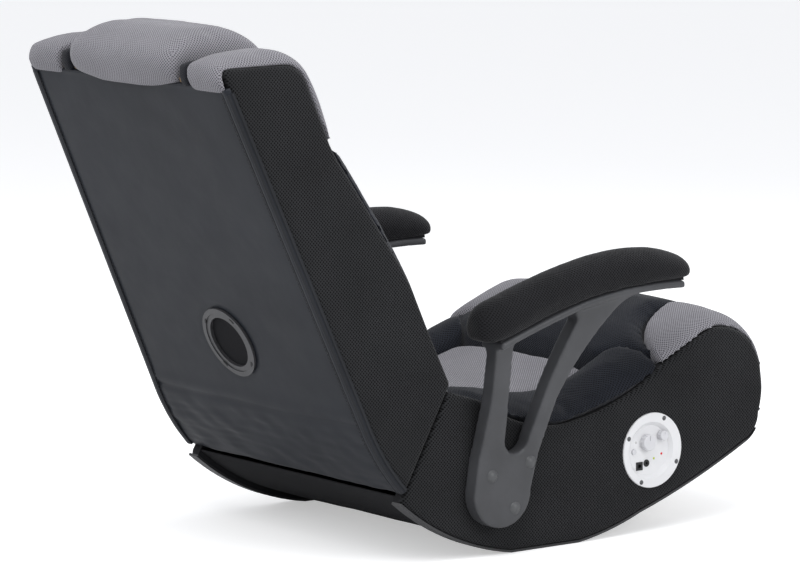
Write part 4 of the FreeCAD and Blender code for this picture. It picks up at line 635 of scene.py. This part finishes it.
def side_cover(name, node, turn, face_x, body, dents, hole=None):
    outward = face_x / abs(face_x)
    loop = resampled(outer_loop(node, face_x, turn), OUTLINE_STEP)
    points = list(loop)
    count = len(loop)
    lows = Vector((min(p[0] for p in loop), min(p[1] for p in loop)))
    highs = Vector((max(p[0] for p in loop), max(p[1] for p in loop)))
    area = sum(a[0] * b[1] - b[0] * a[1] for a, b in zip(loop, loop[1:] + loop[:1]))
    turn_in = 1.0 if area > 0 else -1.0
    depth = {}
    for ring in RING_DEPTHS:
        for k in range(count):
            before, after = loop[k - 1], loop[(k + 1) % count]
            way = Vector((-(after[1] - before[1]), after[0] - before[0])).normalized() * turn_in
            p = (loop[k][0] + way.x * ring, loop[k][1] + way.y * ring)
            d = gap_to(p, loop)
            if d > 0.93 * ring and inside(p, loop):
                depth[len(points)] = ring
                points.append(p)
    rows = int((highs.y - lows.y) / GRID_STEP) + 2
    columns = int((highs.x - lows.x) / GRID_STEP) + 2
    for r in range(rows):
        for c in range(columns):
            p = (lows.x + (c + 0.5 * (r % 2)) * GRID_STEP, lows.y + r * GRID_STEP)
            if not inside(p, loop):
                continue
            d = gap_to(p, loop)
            if d > GRID_MARGIN:
                depth[len(points)] = d
                points.append(p)
    edges = [(k, (k + 1) % count) for k in range(count)]
    if hole:
        (hy, hz), radius = hole
        angles = [2 * pi * k / HOLE_SIDES for k in range(HOLE_SIDES)]
        ring = [(hy + radius * cos(angle), hz + radius * sin(angle)) for angle in angles]
        kept = [k for k, p in enumerate(points) if hypot(p[0] - hy, p[1] - hz) > radius + HOLE_MARGIN]
        index = {k: j for j, k in enumerate(kept)}
        points = [points[k] for k in kept] + ring
        depth = {index[k]: d for k, d in depth.items() if k in index}
        start = len(kept)
        for k in range(HOLE_SIDES):
            depth[start + k] = FIELD_DEPTH
        edges += [(start + k, start + (k + 1) % HOLE_SIDES) for k in range(HOLE_SIDES)]
    verts, _, faces, origin, _, _ = delaunay_2d_cdt([Vector(p) for p in points], edges, [], 0, 1e-7)
    work = bmesh.new()
    made = []
    for v, source in zip(verts, origin):
        known = [k for k in source if k in depth]
        d = depth[known[0]] if known else 0.0
        x = outward * (abs(face_x) + rim_height(d))
        for (cy, cz), radius, deep in dents:
            x -= outward * deep * exp(-((v.x - cy) ** 2 + (v.y - cz) ** 2) / radius ** 2)
        made.append(work.verts.new((x, v.x, v.y)))
    for face in faces:
        middle = (sum(verts[k].x for k in face) / len(face), sum(verts[k].y for k in face) / len(face))
        if not inside(middle, loop):
            continue
        if hole and hypot(middle[0] - hole[0][0], middle[1] - hole[0][1]) < hole[1] * 0.995:
            continue
        work.faces.new([made[k] for k in face])
    bmesh.ops.delete(work, geom=[v for v in work.verts if not v.link_faces], context="VERTS")
    rim = [edge for edge in work.edges if len(edge.link_faces) == 1]
    walls = bmesh.ops.extrude_edge_only(work, edges=rim)
    inner_x = outward * (abs(face_x) - COVER_T / 1000.0)
    for item in walls["geom"]:
        if isinstance(item, bmesh.types.BMVert):
            item.co.x = inner_x
    bmesh.ops.recalc_face_normals(work, faces=work.faces)
    bmesh.ops.transform(work, matrix=turn.inverted(), verts=work.verts)
    mesh = bpy.data.meshes.new(name)
    work.to_mesh(mesh)
    work.free()
    if mesh.polygons[0].normal.x * face_x < 0:
        mesh.flip_normals()
    obj = new_object(name, mesh)
    seat_it(obj, body, "side_mesh", node)
    return obj


def taper_turn(side):
    """Turn that stands a tapered side of the back upright."""
    pivot = Vector((side * BODY_HALF / 1000.0, 0.0, TAPER_Z / 1000.0))
    turn = Matrix.Rotation(side * TAPER, 4, "Y")
    return Matrix.Translation(pivot) @ turn @ Matrix.Translation(-pivot)


def yz(point):
    return ((point[0] - ORIGIN_Y) / 1000.0, point[1] / 1000.0)


FACE_X = BODY_HALF / 1000.0
FOOT_DENTS = [(yz((84.0, 84.0)), 0.05, 0.0022), (yz((60.0, 120.0)), 0.045, 0.0018)]
side_cover("cover_seat_side_left", "seat_side_cover_left", Matrix.Identity(4), FACE_X, "seat", FOOT_DENTS)
side_cover("cover_seat_side_right", "seat_side_cover_right", Matrix.Identity(4), -FACE_X, "seat", FOOT_DENTS,
           (yz(PANEL_CENTRE), PANEL_HOLE_R))
side_cover("cover_back_side_left", "back_side_cover_left", taper_turn(1.0), FACE_X, "back", [])
side_cover("cover_back_side_right", "back_side_cover_right", taper_turn(-1.0), -FACE_X, "back", [])


# Rear of the back: stretched vinyl with a sewn band down each edge

def rear_path(s):
    """Point and outward normal at s millimetres below the top of the rear panel."""
    if s <= REAR_FLAT:
        p = back_point(REAR_FLAT - s, 0.0)
        return p, (cos(RECLINE), -sin(RECLINE))
    turn = (s - REAR_FLAT) / BEND_R
    lower = RECLINE + turn
    centre = back_point(0.0, BEND_R)
    return ((centre[0] + BEND_R * cos(lower), centre[1] - BEND_R * sin(lower)), (cos(lower), -sin(lower)))


REAR_LENGTH = REAR_FLAT + BEND_R * BEND_TURN
BAND = 11.0
TUCK = 7.0
SKIRT = 0.0066

# Cords down each edge, outermost first: inset and lift in millimetres, radius in metres
CORDS = ((0.2, -6.2, 0.0026), (1.6, -0.6, 0.0024), (BAND - 0.5, 1.0, 0.0011))


def rear_puff(s, x, half):
    """Height of the vinyl over the board: drawn in at the bands, creased at the bend, wrinkled below."""
    to_edge = half - BAND - abs(x)
    if to_edge < 0:
        across = (abs(x) - (half - BAND)) / BAND
        return 0.6 + 1.5 * sin(pi * min(1.0, across)) ** 0.6
    lift = 1.1 * (1.0 - exp(-to_edge / 10.0)) - 0.2
    lift += 0.35 * noise.noise(Vector((x / 90.0, s / 120.0, 3.0)))
    crease = REAR_FLAT - 6.0 + 5.0 * noise.noise(Vector((x / 130.0, 0.0, 8.0)))
    lift -= 1.6 * exp(-((s - crease) / 5.0) ** 2)
    lift += 1.0 * exp(-((s - crease + 12.0) / 9.0) ** 2)
    if s > crease:
        deep = min(1.0, (s - crease) / 25.0)
        fold = noise.noise(Vector((x / 34.0 + s / 60.0, s / 22.0, 1.0)))
        long_fold = noise.noise(Vector((x / 95.0, s / 9.0, 5.0)))
        lift += deep * (1.5 * fold + 1.1 * long_fold)
    top = exp(-max(0.0, s) / 7.0)
    return lift - 0.8 * top


def rear_vinyl():
    rows, columns = 210, 150
    work = bmesh.new()
    grid = []
    port = at(0.0, *back_point(PORT_U, 0.0))
    for r in range(rows + 1):
        s = -TUCK + (REAR_LENGTH + TUCK) * r / rows
        (py, pz), (ny, nz) = rear_path(s)
        half = back_half(pz) + 0.3
        line = []
        for c in range(columns + 1):
            t = 2.0 * c / columns - 1.0
            x = half * t
            lift = rear_puff(s, x, half)
            centre_gap = hypot(x, s - (REAR_FLAT - PORT_U))
            if centre_gap < PORT_FLAT_R + PORT_BLEND:
                lift *= min(1.0, max(0.0, (centre_gap - PORT_FLAT_R) / PORT_BLEND))
            line.append(work.verts.new(at(x, py + ny * lift, pz + nz * lift)))
        grid.append(line)
    for r in range(rows):
        for c in range(columns):
            quad = (grid[r][c], grid[r][c + 1], grid[r + 1][c + 1], grid[r + 1][c])
            middle = sum((v.co for v in quad), Vector()) / 4.0
            if (middle - port).length > PORT_OPENING:
                work.faces.new(quad)
    bmesh.ops.delete(work, geom=[v for v in work.verts if not v.link_faces], context="VERTS")
    rim = [edge for edge in work.edges if len(edge.link_faces) == 1]
    walls = bmesh.ops.extrude_edge_only(work, edges=rim)
    for item in walls["geom"]:
        if isinstance(item, bmesh.types.BMVert):
            item.co -= Vector((0.0, cos(RECLINE), -sin(RECLINE))) * SKIRT
    bmesh.ops.recalc_face_normals(work, faces=work.faces)
    mesh = bpy.data.meshes.new("rear_vinyl_panel")
    work.to_mesh(mesh)
    work.free()
    return seat_it(new_object("rear_vinyl_panel", mesh), "back", "rear_vinyl", "back_cover")


def tube(name, points, radius, resolution=6, closed=False):
    """Round cord through points, as a mesh."""
    curve = bpy.data.curves.new(name, "CURVE")
    curve.dimensions = "3D"
    curve.bevel_depth = radius
    curve.bevel_resolution = resolution
    curve.use_fill_caps = True
    line = curve.splines.new("POLY")
    line.points.add(len(points) - 1)
    for p, target in zip(points, line.points):
        target.co = (*p, 1.0)
    line.use_cyclic_u = closed
    holder = new_object(name + "_path", curve)
    graph = bpy.context.evaluated_depsgraph_get()
    mesh = bpy.data.meshes.new_from_object(holder.evaluated_get(graph))
    bpy.data.objects.remove(holder)
    smooth_faces(mesh)
    return new_object(name, mesh)


def joined(name, objects):
    work = bmesh.new()
    for obj in objects:
        work.from_mesh(obj.data)
        bpy.data.objects.remove(obj)
    mesh = bpy.data.meshes.new(name)
    work.to_mesh(mesh)
    work.free()
    return new_object(name, mesh)


def rear_line(inset, lift, side, start=0.0, end=REAR_LENGTH, count=140):
    """Points down one edge of the rear, inset from the side and lifted off the panel."""
    points = []
    for k in range(count + 1):
        s = start + (end - start) * k / count
        (py, pz), (ny, nz) = rear_path(s)
        x = side * (back_half(pz) - inset)
        points.append(at(x, py + ny * lift, pz + nz * lift))
    return points


def rear_piping():
    cords = []
    for side in (1.0, -1.0):
        for inset, lift, radius in CORDS:
            line = [p + Vector((0.0, 0.0, 0.0004 * noise.noise(p * 60.0)))
                    for p in rear_line(inset, lift, side)]
            cords.append(tube("cord", line, radius, 4))
    obj = joined("rear_piping", cords)
    return seat_it(obj, "back", "piping_vinyl", "back_edge_piping")


def stitches(name, path, body, slot, length=0.0034, gap=0.0022, radius=0.0005):
    """Row of short thread stitches along a line of points."""
    cords = []
    run = 0.0
    piece = [path[0]]
    drawn = True
    for a, b in zip(path, path[1:]):
        step = (b - a).length
        here = 0.0
        while step - here > 1e-9:
            target = length if drawn else gap
            go = min(target - run, step - here)
            run += go
            here += go
            spot = a.lerp(b, here / step)
            if drawn:
                piece.append(spot)
            if run >= target - 1e-9:
                if drawn and len(piece) > 1:
                    cords.append(piece)
                drawn = not drawn
                run = 0.0
                piece = [spot]
    work = bmesh.new()
    for piece in cords:
        a, b = piece[0], piece[-1]
        way = (b - a).normalized()
        side = way.orthogonal().normalized() * radius
        other = way.cross(side).normalized() * radius
        ring = [side, other, -side, -other]
        mid = (a + b) / 2.0
        rows = [[work.verts.new(p + q * f) for q in ring] for p, f in ((a, 0.5), (mid, 1.0), (b, 0.5))]
        for low, high in zip(rows, rows[1:]):
            for k in range(4):
                work.faces.new((low[k], low[(k + 1) % 4], high[(k + 1) % 4], high[k]))
        work.faces.new(rows[0][::-1])
        work.faces.new(rows[-1])
    mesh = bpy.data.meshes.new(name)
    work.to_mesh(mesh)
    work.free()
    return seat_it(new_object(name, mesh), body, slot)


rear_vinyl()
rear_piping()
for tag, side in (("left", 1.0), ("right", -1.0)):
    path = rear_line(BAND + 3.0, 1.3, side, 4.0, REAR_FLAT + 60.0)
    stitches("stitches_rear_" + tag, path, "back", "piping_vinyl")


SLOT_R = 0.0443
SLOT_ANGLE = 38.0
SLOT_HALF = (0.0048, 0.0021)
SLOT_T = 0.0006
SLOT_SIDES = 24
PORT_FACE = 0.004


def port_slots():
    """Four dark keyholes at the diagonals of the port's ring, drawn as thin black discs: painted shade in
    place of the depth of the holes.
    """
    out = Vector((0.0, cos(RECLINE), -sin(RECLINE)))
    up = Vector((0.0, sin(RECLINE), cos(RECLINE)))
    centre = at(0.0, *back_point(PORT_U, 0.0))
    work = bmesh.new()
    for k in range(4):
        turn = radians(SLOT_ANGLE + 90.0 * k)
        way = Vector((cos(turn), 0.0, 0.0)) + up * sin(turn)
        along = Vector((-sin(turn), 0.0, 0.0)) + up * cos(turn)
        face = centre + way * SLOT_R + out * PORT_FACE
        rings = []
        for lift, share in ((-SLOT_T, 1.0), (0.6 * SLOT_T, 1.0), (SLOT_T, 0.85)):
            ring = []
            for step in range(SLOT_SIDES):
                angle = 2.0 * pi * step / SLOT_SIDES
                ring.append(work.verts.new(face + out * lift + (along * (SLOT_HALF[0] * cos(angle))
                                                                + way * (SLOT_HALF[1] * sin(angle))) * share))
            rings.append(ring)
        for low, high in zip(rings, rings[1:]):
            for step in range(SLOT_SIDES):
                onward = (step + 1) % SLOT_SIDES
                work.faces.new((low[step], low[onward], high[onward], high[step]))
        work.faces.new(rings[0][::-1])
        work.faces.new(rings[-1])
    bmesh.ops.recalc_face_normals(work, faces=work.faces)
    mesh = bpy.data.meshes.new("port_slots")
    work.to_mesh(mesh)
    work.free()
    # The black discs are painted shade standing in for the inside of the keyholes.
    seat_it(new_object("port_slots", mesh), "back", "socket_plastic")


port_slots()


# Cloth under the seat

def under_cloth():
    """Stretched cloth that follows the CAD sheet, with shallow sags between the runners."""
    node = NODES["seat_bottom_cover"]
    tree = BVHTree.FromObject(node, bpy.context.evaluated_depsgraph_get())
    low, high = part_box("seat_bottom_cover")
    rows, columns = 90, 60
    work = bmesh.new()
    grid = []
    for r in range(rows + 1):
        y = low.y + 0.0008 + (high.y - low.y - 0.0016) * r / rows
        hit = tree.ray_cast(Vector((0.0, y, -0.1)), Vector((0.0, 0.0, 1.0)))
        z = hit[0].z if hit[0] else (grid[-1][0].co.z if grid else high.z)
        line = []
        for c in range(columns + 1):
            x = low.x + (high.x - low.x) * c / columns
            edge = min(abs(x - low.x), abs(high.x - x), abs(y - low.y), abs(high.y - y))
            slack = 1.0 - exp(-edge / 0.03)
            rear = exp(-(high.y - y) / 0.07)
            folds = noise.noise(Vector((x * 22.0 + y * 30.0, y * 45.0, 6.0)))
            broad = noise.noise(Vector((x * 9.0, y * 14.0, 2.0)))
            sag = slack * (0.0012 * broad + 0.0006 + 0.0022 * rear * folds)
            line.append(work.verts.new((x, y, z - sag)))
        grid.append(line)
    for r in range(rows):
        for c in range(columns):
            work.faces.new((grid[r][c], grid[r][c + 1], grid[r + 1][c + 1], grid[r + 1][c]))
    bmesh.ops.recalc_face_normals(work, faces=work.faces)
    mesh = bpy.data.meshes.new("under_cloth")
    work.to_mesh(mesh)
    work.free()
    obj = new_object("under_cloth", mesh)
    thick = obj.modifiers.new("thick", "SOLIDIFY")
    thick.thickness = 0.002
    thick.offset = -1.0 if mesh.polygons[0].normal.z < 0 else 1.0
    applied(obj)
    return seat_it(obj, "seat", "under_cloth", "seat_bottom_cover")


under_cloth()


# Arm brackets: mouldings with softened edges

def bracket(name, node):
    obj = remeshed(name, node, BRACKET_VOXEL)
    relax(obj.data, BRACKET_ROUNDS)
    seat_it(obj, "seat", "bracket_plastic", node)
    return obj


bracket("bracket_left", "arm_bracket_left")
bracket("bracket_right", "arm_bracket_right")


# Studio: camera, lights, floor and backdrop

def camera():
    data = bpy.data.cameras.new("camera")
    data.lens = LENS
    data.sensor_width = SENSOR
    obj = bpy.data.objects.new("camera", data)
    scene.collection.objects.link(obj)
    azimuth = radians(CAMERA_AZIMUTH)
    elevation = radians(CAMERA_ELEVATION)
    back = Vector((sin(azimuth) * cos(elevation), -cos(azimuth) * cos(elevation), sin(elevation)))
    obj.location = CAMERA_AT
    obj.rotation_mode = "QUATERNION"
    obj.rotation_quaternion = (-back).to_track_quat("-Z", "Y")
    scene.camera = obj


def area_light(name, place, aim, size, power, color=(1.0, 1.0, 1.0)):
    data = bpy.data.lights.new(name, "AREA")
    data.shape = "RECTANGLE"
    data.size, data.size_y = size
    data.energy = power
    data.color = color
    obj = bpy.data.objects.new(name, data)
    scene.collection.objects.link(obj)
    obj.location = place
    obj.rotation_mode = "QUATERNION"
    obj.rotation_quaternion = (Vector(aim) - Vector(place)).to_track_quat("-Z", "Y")


def world():
    made = bpy.data.worlds.new("studio")
    scene.world = made
    made.use_nodes = True
    tree = made.node_tree
    light = tree.nodes["Background"]
    light.inputs["Color"].default_value = (0.93, 0.95, 1.0, 1.0)
    light.inputs["Strength"].default_value = 0.55
    shown = tree.nodes.new("ShaderNodeBackground")
    shown.inputs["Color"].default_value = (1.0, 1.0, 1.0, 1.0)
    shown.inputs["Strength"].default_value = 1.0
    path = tree.nodes.new("ShaderNodeLightPath")
    seen = tree.nodes.new("ShaderNodeMath")
    seen.operation = "MAXIMUM"
    tree.links.new(path.outputs["Is Camera Ray"], seen.inputs[0])
    tree.links.new(path.outputs["Is Transmission Ray"], seen.inputs[1])
    both = tree.nodes.new("ShaderNodeMixShader")
    tree.links.new(seen.outputs[0], both.inputs[0])
    tree.links.new(light.outputs[0], both.inputs[1])
    tree.links.new(shown.outputs[0], both.inputs[2])
    tree.links.new(both.outputs[0], tree.nodes["World Output"].inputs[0])


def floor():
    work = bmesh.new()
    for x, y in ((-9, -9), (9, -9), (9, 9), (-9, 9)):
        work.verts.new((x, y, -0.0004))
    work.faces.new(work.verts)
    mesh = bpy.data.meshes.new("floor")
    work.to_mesh(mesh)
    work.free()
    obj = new_object("floor", mesh)
    mat = bpy.data.materials.new("floor")
    mat.use_nodes = True
    tree = mat.node_tree
    bsdf = tree.nodes["Principled BSDF"]
    bsdf.inputs["Base Color"].default_value = (0.86, 0.86, 0.86, 1.0)
    bsdf.inputs["Roughness"].default_value = 0.9
    bsdf.inputs["Emission Color"].default_value = (1.0, 1.0, 1.0, 1.0)
    path = tree.nodes.new("ShaderNodeLightPath")
    lift = tree.nodes.new("ShaderNodeMath")
    lift.operation = "MULTIPLY"
    lift.inputs[1].default_value = 0.45
    tree.links.new(path.outputs["Is Camera Ray"], lift.inputs[0])
    tree.links.new(lift.outputs[0], bsdf.inputs["Emission Strength"])
    obj.data.materials.append(mat)


# Wood that lies behind cloth gets the finish of the cloth, because its edges show through seams
for node in ("arm_pad_boards", "seat_side_panel_left", "seat_side_panel_right", "seat_rear_rail",
             "back_side_panel_left", "back_side_panel_right", "back_bottom_rail", "back_front_board"):
    dress(NODES[node], "under_cloth")

camera()
world()
floor()
area_light("overhead", (-0.9, 0.9, 2.6), (0.0, 0.0, 0.3), (2.2, 2.2), 55.0)
area_light("rear_left", (1.8, 2.6, 1.6), (0.0, 0.2, 0.4), (1.6, 1.6), 26.0)
area_light("side", (-2.8, -0.6, 1.3), (-0.2, 0.0, 0.25), (1.6, 1.4), 26.0)
area_light("front", (0.4, -2.6, 1.8), (0.0, 0.0, 0.3), (1.8, 1.2), 18.0)
scene.view_settings.view_transform = "Standard"
